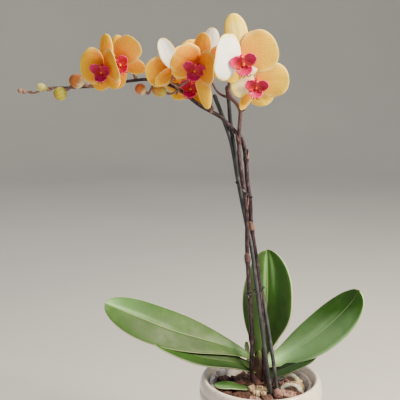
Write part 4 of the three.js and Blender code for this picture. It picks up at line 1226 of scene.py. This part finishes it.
make_pot()
make_liner()
make_bark()
make_crown()
for leaf_name, leaf in LEAVES.items():
    make_leaf(leaf_name, *leaf)
for root_name, root_points in ROOTS.items():
    make_root(root_name, root_points)
for stake_name, stake_points in STAKES.items():
    make_stake(stake_name, stake_points)
make_spike("stem_left", SPIKE_LEFT, left_radius, KNOTS_LEFT, STALKS_LEFT, "purple", "spike_left", TIP_BUDS)
make_spike("stem_right", SPIKE_RIGHT, right_radius, KNOTS_RIGHT, STALKS_RIGHT, "brown", "spike_right")
bundle = [(Route(points), STAKE_RADIUS) for points in STAKES.values()]
bundle += [(Route(SPIKE_LEFT[:14]), STEM_RADIUS), (Route(SPIKE_RIGHT), STEM_RADIUS + 0.1)]
make_tie("wire_lower", "tie_lower", bundle, 232.5, 0.2, (48, (2, -1.6, -3.5)))
make_tie("wire_upper", "tie_upper", bundle, 327.5, -0.88)
for bloom_name, bloom in BLOOMS.items():
    make_bloom(bloom_name, *bloom)
for bud_name, bud in BUDS.items():
    make_bud(bud_name, *bud)

# ---------- Floor, light and camera, in metres ----------


def floor_look():
    look = Look("floor", Roughness=0.9)
    look.base = look.ramp(look.noise(2, 2), (0.3, "c9c9c8"), (0.7, "cfcfce"))
    return look.done()


def make_floor():
    """A round floor that curves up into a pale wall far behind the plant on every side."""
    sides = 96
    flat = 2.2
    profile = [(0.4, 0), (1.2, 0), (flat, 0)]
    profile += [(flat + sin(a), 1 - cos(a)) for a in map(radians, range(6, 91, 6))]
    profile.append((flat + 1, 3.0))
    points = [(r * c, r * s, z) for r, z in profile for _, c, s in circle(sides)]
    faces = [tuple(range(sides))]
    for ring in range(len(profile) - 1):
        for k in range(sides):
            a, b = ring * sides + k, ring * sides + (k + 1) % sides
            faces.append((a, a + sides, b + sides, b))
    mesh = bpy.data.meshes.new("floor")
    mesh.from_pydata(points, [], faces)
    mesh.polygons.foreach_set("use_smooth", [True] * len(faces))
    mesh.materials.append(floor_look())
    link("floor", mesh)


make_floor()

world = bpy.data.worlds.new("studio")
bpy.context.scene.world = world
world.use_nodes = True
sky = world.node_tree.nodes["Background"].inputs
sky["Color"].default_value = tint("c9cbce")
sky["Strength"].default_value = 0.62


def area_light(name, place, target, size, power, colour):
    data = bpy.data.lights.new(name, "AREA")
    data.size = size
    data.energy = power
    data.color = tint(colour)[:3]
    lamp = link(name, data)
    lamp.location = place
    lamp.rotation_euler = (Vector(target) - Vector(place)).to_track_quat("-Z", "Y").to_euler()


area_light("key", (0.8, -0.4, 1.05), (-0.05, 0, 0.42), 0.5, 51, "ffefd0")
area_light("sky", (-0.6, 0.9, 1.7), (-0.05, 0, 0.25), 1.0, 7, "eef3ff")
area_light("front", (-0.5, -1.9, 1.0), (-0.05, 0, 0.35), 1.6, 7, "f4f6ff")

camera_data = bpy.data.cameras.new("camera")
camera_data.lens = 72
camera_data.sensor_width = 36
camera = link("camera", camera_data)
camera.location = (-0.0695, -0.862, 0.5045)
camera.rotation_euler = (radians(78.9), 0, 0)
bpy.context.scene.camera = camera
